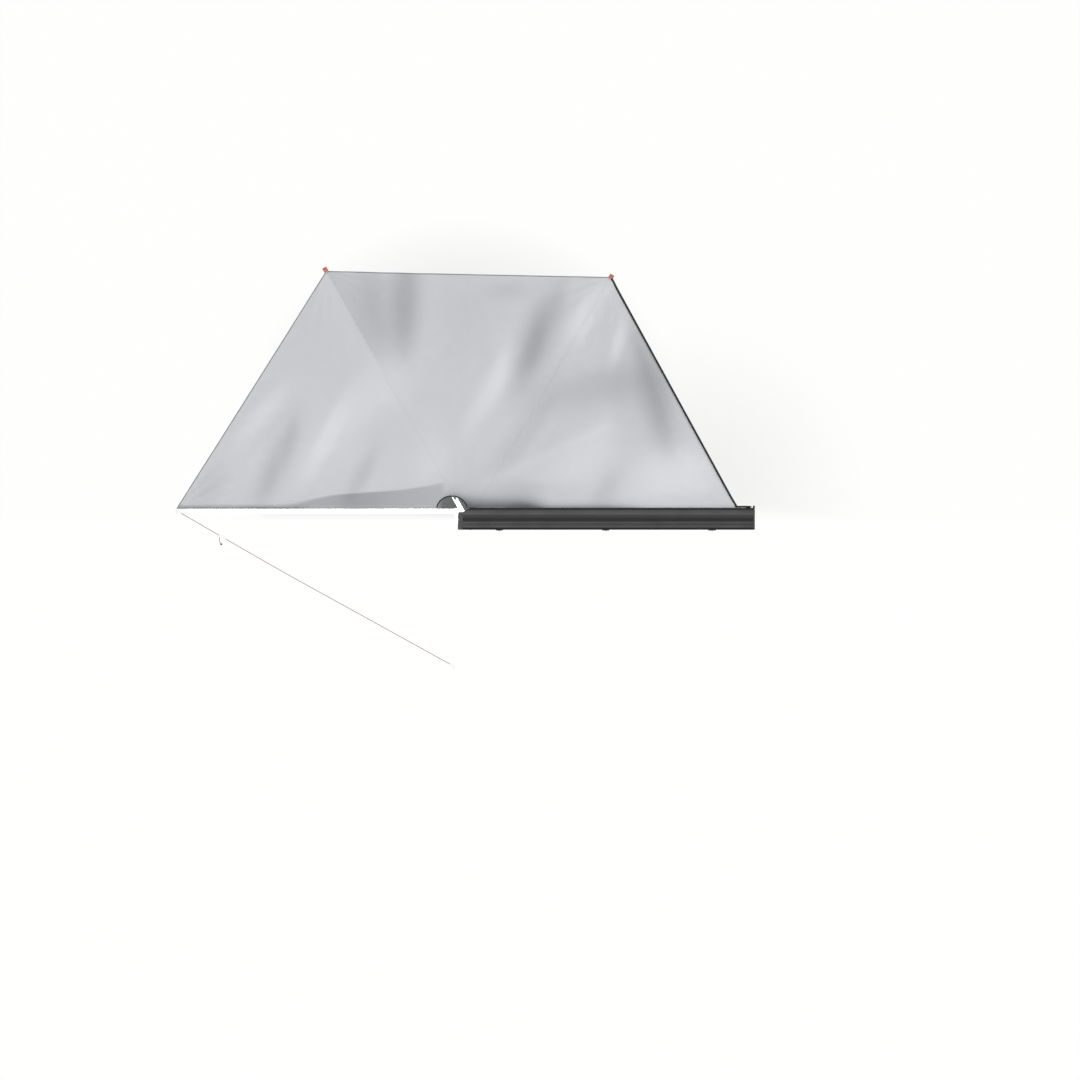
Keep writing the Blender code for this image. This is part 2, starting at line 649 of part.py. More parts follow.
def make_hub():
    """Upper and lower plate, and the web with two pads that bolts to the case's back wall."""
    outline = hub_outline()
    hub = prism("hub_bracket", outline, HUB_TOP_Z - HUB_PLATE, HUB_TOP_Z, "Z", SILVER)
    lower = prism("hub_lower_plate", outline, HUB_BOTTOM_Z, HUB_BOTTOM_Z + HUB_PLATE, "Z", SILVER)
    web_low = (HUB_BOLT_X - HUB_WEB_BEHIND, HUB_WEB_Y, HUB_BOTTOM_Z - HUB_FLANGE)
    web_high = (HUB_BOLT_X + HUB_WEB_AHEAD, HUB_WEB_Y + HUB_WEB_THICK, HUB_TOP_Z + HUB_FLANGE)
    web = block("hub_web", web_low, web_high, SILVER)
    bulge = T_SLOT_WIDTH / 2 + WALL + RUNNING
    pad_y = CASE_BACK_Y + WALL + CLEAR
    heights = ((web_low[2], CASE_MID_Z - bulge), (CASE_MID_Z + bulge, web_high[2]))
    pads = []
    for i, (low, high) in enumerate(heights):
        low_corner = (web_low[0], pad_y, low)
        pads.append(block(f"hub_pad_{i}", low_corner, (web_high[0], HUB_WEB_Y + 0.001, high), SILVER))
    join(hub, lower, web, *pads)
    for place, (x, y) in PIVOTS.items():
        hole = rod(
            f"hub_{place}_hole", PIVOT_BOLT_RADIUS + CLEAR, HUB_BOTTOM_Z - PAST, HUB_TOP_Z + PAST, "Z",
            SILVER, centre=(x, y, 0),
        )
        cut(hub, hole)
    for i, (name, z) in enumerate(zip(("lower", "upper"), hub_bolt_heights())):
        centre = (HUB_BOLT_X, 0, z)
        web_face = HUB_WEB_Y + HUB_WEB_THICK
        hole = rod(f"hub_bolt_hole_{i}", HUB_BOLT_RADIUS + CLEAR, -PAST, web_face + PAST, "Y", SILVER,
                   centre=centre, sides=12)
        cut(hub, hole)
        bolt = rod(f"hub_{name}_bolt", HUB_BOLT_RADIUS, HUB_BOLT_START, web_face + 0.002, "Y",
                   STEEL, centre=centre, sides=12)
        low = web_face + CLEAR
        head = hexagon(f"hub_{name}_bolt_head", NUT_RADIUS, low, low + BOLT_HEAD_HEIGHT, "Y", None, centre)
        nut_face = CASE_BACK_Y - CLEAR
        nut = hexagon(f"hub_{name}_bolt_nut", NUT_RADIUS, HUB_NUT_START, nut_face, "Y", None, centre)
        join(bolt, head, nut)


def make_pivots():
    """A shoulder bolt with its nut through the hub at each arm's pivot."""
    for place, (x, y) in PIVOTS.items():
        centre = (x, y, 0)
        low, high = HUB_BOTTOM_Z - PIVOT_BOLT_BELOW, HUB_TOP_Z + 0.002
        bolt = rod(f"{place}_pivot_bolt", PIVOT_BOLT_RADIUS, low, high, "Z", STEEL, centre=centre)
        high_nut = HUB_BOTTOM_Z - CLEAR
        low_nut = high_nut - PIVOT_NUT_HEIGHT
        low_head = HUB_TOP_Z + CLEAR
        high_head = low_head + PIVOT_HEAD_HEIGHT
        head = hexagon(f"{place}_pivot_head", PIVOT_HEAD_RADIUS, low_head, high_head, "Z", None, centre)
        nut = hexagon(f"{place}_pivot_nut", PIVOT_HEAD_RADIUS, low_nut, high_nut, "Z", None, centre)
        join(bolt, head, nut)


def make_arm_rest():
    """The rubber rest near the front end that carries the stowed arms."""
    low, high = CASE_BOTTOM_Z + WALL + CLEAR, ARM_MID_Z - ARM_HEIGHT / 2 - REST_TO_ARM
    inner = PIVOTS["front"][1] - ARM_WIDTH / 2
    outer = PIVOTS["rear"][1] + ARM_WIDTH / 2
    behind, ahead, shoulder = inner - REST_FOOT, outer + REST_FOOT / 2, low + REST_FOOT_HEIGHT
    outline = [(behind, low), (ahead, low), (ahead, shoulder), (outer, high)]
    outline += [(inner, high), (behind, shoulder)]
    core_width, core_floor, core_roof = REST_CORE
    rest_x = CASE_FRONT_X - REST_FROM_FRONT
    rest_end = rest_x + REST_LENGTH
    rest = prism("arm_rest", outline, rest_x, rest_end, "X", BLACK_RUBBER)
    for i, (_, y) in enumerate(PIVOTS.values()):
        corner, opposite = (y - core_width / 2, low + core_floor), (y + core_width / 2, high - core_roof)
        core = rounded_box(corner, opposite, 0.006, 2)
        cut(rest, prism(f"arm_rest_core_{i}", core, rest_x - PAST, rest_end + PAST, "X", BLACK_RUBBER))


def make_strap_anchor():
    """The small steel eye on the case's lip that holds the canopy's front edge strap."""
    y = CASE_EDGE_Y + CLEAR
    x = CANOPY_CASE_CORNER_X
    low = (x - ANCHOR_BEHIND, CASE_TOP_Z - LIP_DROP + 0.0005)
    high = (x + ANCHOR_AHEAD, CASE_TOP_Z - LIP_CHAMFER[1] - 0.0020)
    outline = rounded_box(low, high, 0.004, 2)
    anchor = prism("strap_anchor", outline, y, y + ANCHOR_THICK, "Y", STEEL)
    eye = rounded_box((x + 0.014, CASE_TOP_Z - 0.0165), (x + 0.026, CASE_TOP_Z - 0.0090), 0.002, 2)
    cut(anchor, prism("strap_anchor_eye", eye, y - PAST, y + 2 * PAST, "Y", STEEL))


def make_cover():
    """The front cover, modelled closed about its hinge, and turned half round to hang open."""
    hinge = axis_empty("front_cover_axis", (0, HINGE_Y, HINGE_Z), turn=(180, 0, 0))
    face = BARREL_RADIUS + 0.0014
    back = face - WALL
    top = CASE_TOP_Z - COVER_BELOW_TOP - HINGE_Z
    lip = face - COVER_DEPTH
    outline = [(face, -0.001)]
    for share in COVER_RIBS:
        z, low_face = top * share, face - COVER_RIB_DEPTH
        outline += [(face, z - 0.006), (low_face, z - 0.004), (low_face, z + 0.004)]
        outline += [(face, z + 0.006)]
    outline += [(face, top - 0.006), (face - 0.002, top - 0.002), (face - 0.006, top), (lip, top)]
    outline += [(lip, top - WALL), (back - 0.004, top - WALL), (back, top - WALL - 0.004), (back, -0.001)]
    cover = prism("front_cover", outline, COVER_REAR_X, COVER_FRONT_X, "X", BLACK_COAT, hinge)
    ends = [COVER_REAR_X]
    for x in fixed_barrel_xs():
        ends += [x - BARREL_GAP, x + FIXED_BARREL_LENGTH + BARREL_GAP]
    ends += [COVER_FRONT_X]
    for i in range(0, len(ends), 2):
        barrel = sleeve(f"cover_barrel_{i // 2}", HINGE_ROD_RADIUS + RUNNING, BARREL_RADIUS, ends[i],
                        ends[i + 1], "X", BLACK_COAT, hinge, sides=12)
        join(cover, barrel)
    deep, below, above = BARREL_SWEEP
    for i in range(1, len(ends) - 1, 2):
        notch = block(f"cover_notch_{i // 2}", (ends[i], -deep, -below), (ends[i + 1], deep, above),
                      BLACK_COAT, hinge)
        cut(cover, notch)
    z = top - LATCH_BELOW_TOP + COVER_BELOW_TOP
    for place, x in LATCH_XS.items():
        hole = rod(f"cover_{place}_latch_hole", LATCH_SHAFT_RADIUS + RUNNING, -2 * PAST, 2 * PAST, "Y",
                   BLACK_COAT, hinge, centre=(x, 0, z))
        cut(cover, hole)
        make_latch(place, (x, 0, z), hinge, face)
    rod("cover_hinge_rod", HINGE_ROD_RADIUS, COVER_REAR_X + 0.002, COVER_FRONT_X - 0.002, "X", STEEL,
        centre=(0, HINGE_Y, HINGE_Z), sides=8)
    seal_z = top - WALL - SEAL_BELOW
    seal_start, seal_end = COVER_REAR_X + SEAL_INSET, COVER_FRONT_X - SEAL_INSET
    seal = arc((back - CLEAR - SEAL_BACK, seal_z), SEAL_RADIUS, 90, 270, 4)
    seal += [(back - CLEAR, seal_z - SEAL_RADIUS), (back - CLEAR, seal_z + SEAL_RADIUS)]
    prism("cover_seal", seal, seal_start, seal_end, "X", BLACK_RUBBER, hinge)


def make_latch(place, centre, hinge, face):
    """A quarter-turn latch: a knob outside, a shaft through the cover, and a cam behind the case's lip."""
    pivot = axis_empty(f"{place}_latch_axis", centre, hinge)
    knob, knob_back, knob_face = LATCH_KNOB_RADIUS, face + CLEAR, face + LATCH_KNOB_THICK
    knob_profile = [(0, knob_back), (knob, knob_back), (knob, knob_face - 0.002)]
    knob_profile += [(knob - 0.001, knob_face), (0, knob_face)]
    latch = turned(f"{place}_latch", knob_profile, "Y", BLACK_PLASTIC, pivot)
    grip_length, grip_width, grip_height = LATCH_GRIP
    grip = rounded_box((-grip_length / 2, -grip_width / 2), (grip_length / 2, grip_width / 2), 0.0025, 2)
    bar = prism(f"{place}_latch_grip", grip, knob_face - 0.0015, face + grip_height, "Y", BLACK_PLASTIC,
                pivot)
    cam_back = CASE_EDGE_Y - WALL - LATCH_CAM_TO_LIP - HINGE_Y
    cam_front = cam_back - LATCH_CAM_THICK
    shaft = rod(f"{place}_latch_shaft", LATCH_SHAFT_RADIUS, cam_front + 0.001, face + 0.002, "Y",
                BLACK_PLASTIC, pivot)
    cam = rounded_box((-0.0055, -0.0055), (LATCH_CAM_LENGTH, 0.0055), 0.0025, 2)
    blade = prism(f"{place}_latch_cam", cam, cam_front, cam_back, "Y", BLACK_PLASTIC, pivot)
    join(latch, bar, shaft, blade)


def make_arm(place):
    """One swinging arm with its knuckle, bush, tip fitting and folded leg, along +X from its pivot."""
    x, y = PIVOTS[place]
    pivot = axis_empty(f"{place}_arm_axis", (x, y, ARM_MID_Z), turn=(0, 0, ARM_ANGLES[place]))
    side, top = ARM_WIDTH / 2, ARM_HEIGHT / 2
    inside = side - ARM_WALL
    web = top - ARM_WALL
    line, floor = ARM_LINE_WIDTH / 2, top - ARM_LINE_DEPTH
    outline = [(side, -top), (side, top - ARM_BEVEL), (side - ARM_BEVEL, top), (line, top)]
    outline += [(line - 0.002, floor)]
    outline += [(-y, z) for y, z in reversed(outline)]
    outline += [(-inside, -top), (-inside, web), (inside, web), (inside, -top)]
    prism(f"{place}_arm", outline, ARM_START, TIP_STARTS[place] - CLEAR, "X", SILVER, pivot)
    make_knuckle(place, pivot, side, top, inside, web)
    make_tip(place, pivot, side, top, inside, web)
    make_leg(place, pivot)


def make_knuckle(place, pivot, side, top, inside, web):
    """The cast end of an arm: round about the pivot, with a hollow tongue inside the channel."""
    half = side - KNUCKLE_INSET
    end = ARM_START - CLEAR
    outline = [(end, -half), (end, half)] + arc((0, 0), half, 90, 270, 8)
    knuckle = prism(f"{place}_knuckle", outline, -top, top, "Z", SILVER, pivot)
    tongue = block(
        f"{place}_knuckle_tongue", (end - 0.004, -inside + CLEAR, -top + 0.002),
        (KNUCKLE_LENGTH, inside - CLEAR, web - CLEAR), SILVER, pivot,
    )
    pocket = block(
        f"{place}_knuckle_pocket", (end + 0.006, -inside + KNUCKLE_WALL, -top - PAST),
        (KNUCKLE_LENGTH - 2 * KNUCKLE_WALL, inside - KNUCKLE_WALL, web - 0.006), SILVER, pivot,
    )
    bore = rod(f"{place}_knuckle_bore", BUSH_OUTER + CLEAR, -top - PAST, top + PAST, "Z", SILVER, pivot)
    join(knuckle, tongue)
    cut(knuckle, pocket, bore)
    inner = PIVOT_BOLT_RADIUS + CLEAR
    low, high = -top - HUB_GAP + CLEAR, top + HUB_GAP - CLEAR
    flange = -top - CLEAR
    profile = [(BUSH_FLANGE, low), (BUSH_FLANGE, flange), (BUSH_OUTER, flange), (BUSH_OUTER, high)]
    profile += [(inner, high), (inner, low)]
    turned(f"{place}_bush", profile, "Z", BRONZE, pivot, hollow=True)


def make_tip(place, pivot, side, top, inside, web):
    """The fitting on the arm's end: a plug in the channel, a fork for the leg and a rope eye."""
    nose, look = TIP_NOSE, TIP_LOOKS[place]
    start, end, pin_x = TIP_STARTS[place], ARM_LENGTHS[place], LEG_PIN_XS[place]
    outline = [(start, -top), (end - nose, -top)]
    outline += arc((end - nose, -top + nose), nose, 270, 360, 3)
    outline += arc((end - nose, top - nose), nose, 0, 90, 3)
    outline += [(start, top)]
    tip = prism(f"{place}_tip", outline, -side, side, "Y", look, pivot)
    soften(tip, TIP_BEVEL)
    plug = block(
        f"{place}_tip_plug", (start - TIP_PLUG, -inside + CLEAR, -top + 0.002),
        (start + 0.004, inside - CLEAR, web - CLEAR), look, pivot,
    )
    eye_x = end - nose
    eye_z = -top - TIP_EYE_RADIUS + 0.001
    eye = arc((eye_x, eye_z), TIP_EYE_RADIUS, 180, 360, 6)
    eye += [(eye_x + TIP_EYE_RADIUS, -top + 0.004), (eye_x - TIP_EYE_RADIUS, -top + 0.004)]
    lug = prism(f"{place}_tip_eye", eye, -TIP_EYE_THICK / 2, TIP_EYE_THICK / 2, "Y", look, pivot)
    join(tip, plug, lug)
    fork = side - TIP_CHEEK
    slot = block(
        f"{place}_tip_slot", (start - TIP_PLUG - PAST, -fork, -top - 2 * PAST),
        (pin_x + TIP_FORK_PAST_PIN, fork, web - 0.0035), look, pivot,
    )
    edge_reach = side + PAST
    pin_hole = rod(f"{place}_tip_pin_hole", LEG_PIN_RADIUS + CLEAR, -edge_reach, edge_reach, "Y", look,
                   pivot, centre=(pin_x, 0, -LEG_PIN_DROP), sides=12)
    eye_hole = rod(f"{place}_tip_eye_hole", TIP_EYE_HOLE, -PAST, PAST, "Y", look, pivot,
                   centre=(eye_x, 0, eye_z), sides=10)
    cut(tip, slot, pin_hole, eye_hole)
    rod(f"{place}_leg_pin", LEG_PIN_RADIUS, -side + 0.001, side - 0.001, "Y", STEEL, pivot,
        centre=(pin_x, 0, -LEG_PIN_DROP), sides=12)


def make_leg(place, pivot):
    """A telescopic leg folded inside the arm, modelled from its pin towards its foot."""
    pin = axis_empty(f"{place}_leg_axis", (LEG_PIN_XS[place], 0, -LEG_PIN_DROP), pivot, (0, 0, 180))
    outer, bore = LEG_OUTER_RADIUS, LEG_OUTER_RADIUS - LEG_OUTER_WALL
    end = LEG_OUTER_LENGTH
    profile = [(0, -outer), (outer * 0.5, -outer * 0.87), (outer * 0.87, -outer * 0.5), (outer, 0)]
    profile += [(outer, end), (bore, end), (bore, LEG_PLUG_END), (0, LEG_PLUG_END)]
    tube = turned(f"{place}_leg_outer", profile, "X", SILVER, pin)
    hole = rod(f"{place}_leg_outer_hole", LEG_PIN_RADIUS + CLEAR, -outer - PAST, outer + PAST, "Y", SILVER,
               pin, sides=12)
    cut(tube, hole)

    reach = end + LEG_INNER_SHOWS
    inner = LEG_INNER_RADIUS
    sleeve(f"{place}_leg_inner", inner - LEG_INNER_WALL, inner, LEG_INNER_START, reach, "X", SILVER, pin)

    plug = inner - LEG_INNER_WALL - CLEAR
    start = reach + CLEAR
    neck, flare = inner + FOOT_FLARE / 2, inner + FOOT_FLARE
    plug_end, neck_end = reach - FOOT_PLUG_LENGTH, start + FOOT_NECK_LENGTH
    foot = [(0, plug_end), (plug, plug_end), (plug, start), (neck, start), (neck, neck_end)]
    foot += [(flare, neck_end + 2 * FOOT_BEVEL), (flare, start + FOOT_LENGTH - FOOT_BEVEL)]
    foot += [(flare - 0.0017, start + FOOT_LENGTH), (0, start + FOOT_LENGTH)]
    turned(f"{place}_leg_foot", foot, "X", BLACK_RUBBER, pin)
    make_clamp(place, pin, outer, inner, end)


def make_clamp(place, pin, outer, inner, end):
    """The collar on the outer tube's end, and the cam lever that squeezes it on the inner tube."""
    nose = end + CLAMP_NOSE
    back = nose - CLAMP_LENGTH
    profile = [(outer + CLEAR, back), (CLAMP_RADIUS, back)]
    profile += [(CLAMP_RADIUS, nose - CLAMP_TAPER), (inner + CLAMP_LIP, nose), (inner + CLEAR, nose)]
    profile += [(inner + CLEAR, end + CLEAR), (outer + CLEAR, end + CLEAR)]
    collar = turned(f"{place}_leg_clamp", profile, "X", BLACK_PLASTIC, pin, hollow=True)
    hinge_x, hinge_z = end - LEVER_PIN_BEHIND, -CLAMP_RADIUS - LEVER_PIN_BELOW
    half_length, half_thick = CLAMP_EAR[0] / 2, CLAMP_EAR[1] / 2
    ear_low = (hinge_x - half_length, hinge_z - 0.004)
    ear_high = (hinge_x + half_length, 0.0015 - CLAMP_RADIUS)
    ear = rounded_box(ear_low, ear_high, 0.0020, 2)
    lug = prism(f"{place}_clamp_ear", ear, -half_thick, half_thick, "Y", BLACK_PLASTIC, pin)
    stub_end = LEVER_WIDTH / 2 - 0.0005
    stub = rod(f"{place}_clamp_stub", LEVER_PIN_RADIUS, -stub_end, stub_end, "Y", BLACK_PLASTIC, pin,
               centre=(hinge_x, 0, hinge_z), sides=8)
    join(collar, lug, stub)

    lever_axis = axis_empty(f"{place}_lever_axis", (hinge_x, 0, hinge_z), pin)
    handle = [(0.0040, -0.0035), (0.0040, 0.0030), (-0.0080, 0.0040), (-LEVER_LENGTH + 0.004, 0.0040)]
    handle += [(-LEVER_LENGTH, 0.0010), (-LEVER_LENGTH + 0.002, -0.0020), (-0.0100, -0.0055)]
    handle += [(0.0010, -0.0055)]
    side = LEVER_WIDTH / 2
    lever = prism(f"{place}_clamp_lever", handle, -side, side, "Y", ORANGE, lever_axis)
    fork, reach = half_thick + 0.0004, 2 * PAST
    gap = block(f"{place}_lever_fork", (-0.0090, -fork, -reach), (reach, fork, reach), ORANGE, lever_axis)
    bore = LEVER_PIN_RADIUS + CLEAR
    hole = rod(f"{place}_lever_hole", bore, -reach, reach, "Y", ORANGE, lever_axis, sides=8)
    cut(lever, gap, hole)


def arm_point(place, along, left=0.0):
    """A point on an arm's centre line, or to the left of it, as (x, y)."""
    angle = math.radians(ARM_ANGLES[place])
    x, y = PIVOTS[place]
    x += along * math.cos(angle) - left * math.sin(angle)
    y += along * math.sin(angle) + left * math.cos(angle)
    return Vector((x, y))


def smooth(value):
    value = min(max(value, 0.0), 1.0)
    return value * value * (3 - 2 * value)


def rise_at_case(x, y):
    """How far the cloth rises from the arms to the groove in the case's lip."""
    rise = KEDER_Z - CLOTH / 2 - CANOPY_Z
    near = math.exp(-max(y - CASE_EDGE_Y, 0.0) / RISE_LENGTH)
    return rise * near * smooth((x + 1.62) / 0.36)


def canopy_panel(name, inner, outer, folds, parent=None):
    """A thin sheet between an inner and an outer edge, each a function of 0 to 1 across the panel."""
    bm = bmesh.new()
    grid = {}
    for i in range(CANOPY_ROWS + 1):
        u = i / CANOPY_ROWS
        for j in range(CANOPY_COLUMNS + 1):
            v = j / CANOPY_COLUMNS
            place = inner(v).lerp(outer(v), u)
            across = math.sin(math.pi * v) ** 2
            sag = -SAG * across * math.sin(math.pi * min(u * 1.05, 1.0)) ** 0.8
            fold = FOLD_DEPTH * across * u * (1.0 - u) * 4 * math.cos(2 * math.pi * folds * v)
            z = CANOPY_Z + 0.7 * rise_at_case(*place) + 0.3 * rise_at_case(*place) * (1 - across)
            z += (sag + fold) * smooth(u * 3.0)
            for level, lift in enumerate((0.0, CLOTH)):
                grid[i, j, level] = bm.verts.new((place.x, place.y, z + lift))
    rows, columns = range(CANOPY_ROWS), range(CANOPY_COLUMNS)
    for i in rows:
        for j in columns:
            for level in (0, 1):
                square = [grid[i, j, level], grid[i + 1, j, level]]
                square += [grid[i + 1, j + 1, level], grid[i, j + 1, level]]
                bm.faces.new(square if level else square[::-1])
    border = [(i, 0) for i in range(CANOPY_ROWS + 1)]
    border += [(CANOPY_ROWS, j) for j in range(1, CANOPY_COLUMNS + 1)]
    border += [(i, CANOPY_COLUMNS) for i in reversed(rows)]
    border += [(0, j) for j in reversed(range(1, CANOPY_COLUMNS))]
    for here, there in zip(border, border[1:] + border[:1]):
        bm.faces.new([grid[*here, 0], grid[*there, 0], grid[*there, 1], grid[*here, 1]])
    return finished(name, bm, CANVAS, parent)


def on_cut_out(degrees):
    """A point of the round cut-out round the hub."""
    return Vector(arc(CUT_OUT_CENTRE, CUT_OUT_RADIUS, degrees, degrees, 1)[0])


def straight(start, end):
    return lambda v: start.lerp(end, v)


def seam_on_cut_out():
    """The angle, about the cut-out's centre, at which the middle arm's line leaves it."""
    centre = Vector(CUT_OUT_CENTRE)
    start = arm_point("middle", 0.0)
    along = arm_point("middle", 1.0) - start
    offset = start - centre
    near = offset.dot(along)
    reach = -near + math.sqrt(near * near - offset.length_squared + CUT_OUT_RADIUS ** 2)
    place = start + along * reach - centre
    return math.degrees(math.atan2(place.y, place.x))


def make_canopy():
    """Three panels that meet over the arms, and the strap along the front edge."""
    case_y = CASE_EDGE_Y + CLEAR
    seam = CLEAR
    angle = math.radians(ARM_ANGLES["front"])
    front_start = (case_y - PIVOTS["front"][1]) / math.sin(angle)
    front_tip = CANOPY_REACH["front"]
    corner = Vector((CANOPY_CASE_CORNER_X, case_y))
    tip = arm_point("front", front_tip)
    edge = (tip - corner).normalized()
    inward = Vector((-edge.y, edge.x))
    hem = STRAP_WIDTH / 2 + CLEAR
    hem_x = hem / abs(inward.x)
    hem_along = hem / abs(inward.dot((tip - arm_point("front", 0.0)).normalized()))
    apex = arm_point("front", front_start)
    front_inner = straight(Vector((apex.x + 0.012, case_y)), arm_point("front", front_start + 0.014, -seam))
    front_outer = straight(
        corner - Vector((hem_x, 0)), arm_point("front", front_tip - hem_along, -seam)
    )
    canopy_panel("canopy_front", front_inner, front_outer, 3)

    seam_degrees = seam_on_cut_out()
    middle_tip = arm_point("middle", CANOPY_REACH["middle"])
    low_degrees = math.degrees(math.asin((case_y - CUT_OUT_CENTRE[1]) / CUT_OUT_RADIUS))
    start = arm_point("front", front_start, seam)
    bend = on_cut_out(low_degrees)

    def middle_inner(v):
        if v < 0.25:
            return start.lerp(bend, v / 0.25)
        return on_cut_out(low_degrees + (seam_degrees - low_degrees) * (v - 0.25) / 0.75)

    middle_outer = straight(arm_point("front", front_tip, seam), middle_tip + Vector((seam, 0)))
    canopy_panel("canopy_middle", middle_inner, middle_outer, 2)

    rear_y = PIVOTS["rear"][1] + ARM_WIDTH / 2 + CANOPY_TO_REAR_ARM
    high_degrees = 180 - math.degrees(math.asin((rear_y - CUT_OUT_CENTRE[1]) / CUT_OUT_RADIUS))
    first_degrees = seam_degrees + math.degrees(2 * seam / CUT_OUT_RADIUS)

    def rear_inner(v):
        return on_cut_out(first_degrees + (high_degrees - first_degrees) * v)

    rear_corner = Vector((arm_point("rear", CANOPY_REACH["rear"]).x, rear_y))
    rear_outer = straight(middle_tip - Vector((seam, 0)), rear_corner)
    canopy_panel("canopy_rear", rear_inner, rear_outer, 3)
    make_edge_strap(corner, tip, inward)


def make_edge_strap(corner, tip, inward):
    """Flat webbing from the anchor on the case to the front arm's tip."""
    half = STRAP_WIDTH / 2
    low, high = KEDER_Z - 0.0065, CANOPY_Z
    along = (tip - corner).normalized()
    ends = ((corner + along * 0.0114, low), (tip - along * 0.014, high))
    bm = bmesh.new()
    corners = []
    for place, z in ends:
        for side, lift in ((half, 0), (-half, 0), (-half, CLOTH), (half, CLOTH)):
            spot = place + inward * side
            corners.append(bm.verts.new((spot.x, spot.y, z + lift)))
    for face in ((0, 1, 2, 3), (7, 6, 5, 4), (0, 4, 5, 1), (1, 5, 6, 2), (2, 6, 7, 3), (3, 7, 4, 0)):
        bm.faces.new([corners[i] for i in face])
    finished("front_edge_strap", bm, WEBBING, None)


def tube(name, points, radius, mat, resolution=2):
    """A round cord or wire through these points, with closed ends."""
    curve = bpy.data.curves.new(name, "CURVE")
    curve.dimensions = "3D"
    curve.bevel_depth = radius
    curve.bevel_resolution = resolution
    curve.use_fill_caps = True
    spline = curve.splines.new("POLY")
    spline.points.add(len(points) - 1)
    for target, point in zip(spline.points, points):
        target.co = (*point, 1.0)
    curve.materials.append(mat)
    obj = bpy.data.objects.new(name, curve)
    bpy.context.scene.collection.objects.link(obj)
    return obj


def smooth_route(route, count):
    """Points evenly spread on a smooth curve through the route's own points."""
    route = [Vector(p) for p in route]
    ends = [2 * route[0] - route[1]] + route + [2 * route[-1] - route[-2]]
    fine = []
    for i in range(1, len(ends) - 2):
        a, b, c, d = ends[i - 1 : i + 3]
        for step in range(40):
            t = step / 40
            fine.append(
                0.5 * (2 * b + (c - a) * t + (2 * a - 5 * b + 4 * c - d) * t * t
                       + (3 * b - a - 3 * c + d) * t ** 3)
            )
    fine.append(route[-1])
    lengths = [0.0]
    for p, q in zip(fine, fine[1:]):
        lengths.append(lengths[-1] + (q - p).length)
    points = []
    k = 0
    for i in range(count):
        want = lengths[-1] * i / (count - 1)
        while k < len(fine) - 2 and lengths[k + 1] < want:
            k += 1
        share = (want - lengths[k]) / (lengths[k + 1] - lengths[k])
        points.append(fine[k].lerp(fine[k + 1], share))
    return points


def make_rope():
    """The taut guy rope with its tensioner and tail, and the wire hook on its far end."""
    tube("guy_rope", smooth_route(ROPE_ROUTE, 72), ROPE_RADIUS, RED_ROPE)
    start, knot = Vector(ROPE_ROUTE[0]), Vector(ROPE_ROUTE[1])
    along = (knot - start).normalized()
    frame = axis_empty("tensioner_frame", start + along * TENSIONER_AT)
    frame.rotation_euler = along.to_track_quat("X", "Z").to_euler()
    length, width, thick = TENSIONER_SIZE
    outline = rounded_box((-length / 2, -width / 2), (length / 2, width / 2), 0.009, 3)
    body = prism("rope_tensioner", outline, -thick / 2, thick / 2, "Z", WHITE_PLASTIC, frame)
    passage = rod("tensioner_passage", ROPE_RADIUS + RUNNING, -length, length, "X", WHITE_PLASTIC, frame,
                  sides=12)
    cut(body, passage)
    tube("rope_tail", smooth_route(TAIL_ROUTE, 22), ROPE_RADIUS, RED_ROPE)
    make_hook(Vector(ROPE_ROUTE[-1]), (Vector(ROPE_ROUTE[-1]) - Vector(ROPE_ROUTE[-2])).normalized())


def make_hook(start, along):
    """A bent wire hook: an eye at the rope, a straight shank and a round hook."""
    side = along.cross(UP).normalized()
    eye, bend = HOOK_EYE_RADIUS, HOOK_BEND_RADIUS
    eye_centre = start + along * (CLEAR + eye + HOOK_WIRE)
    points = []
    for i in range(11):
        angle = math.radians(25 + 310 * i / 10)
        points.append(eye_centre + eye * (along * math.cos(angle) + side * math.sin(angle)))
    shank = eye_centre + along * HOOK_SHANK
    points.append(eye_centre + along * 0.016 - side * 0.0010)
    centre = shank + side * bend
    for i in range(10):
        angle = math.radians(-90 + 205 * i / 9)
        points.append(centre + bend * (along * math.cos(angle) + side * math.sin(angle)))
    tube("rope_hook", points, HOOK_WIRE, WHITE_METAL)


make_case()
make_rear_cap()
make_front_cap()
make_brackets()
make_hub()
make_pivots()
make_arm_rest()
make_strap_anchor()
make_cover()
for arm in PIVOTS:
    make_arm(arm)
make_canopy()
make_rope()
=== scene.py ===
"""Looks of the open vehicle side awning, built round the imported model.

Lengths are in metres. The case lies along x with its open side toward +y, the hub is at its rear
end, and the three arms swing about z.
"""

import math

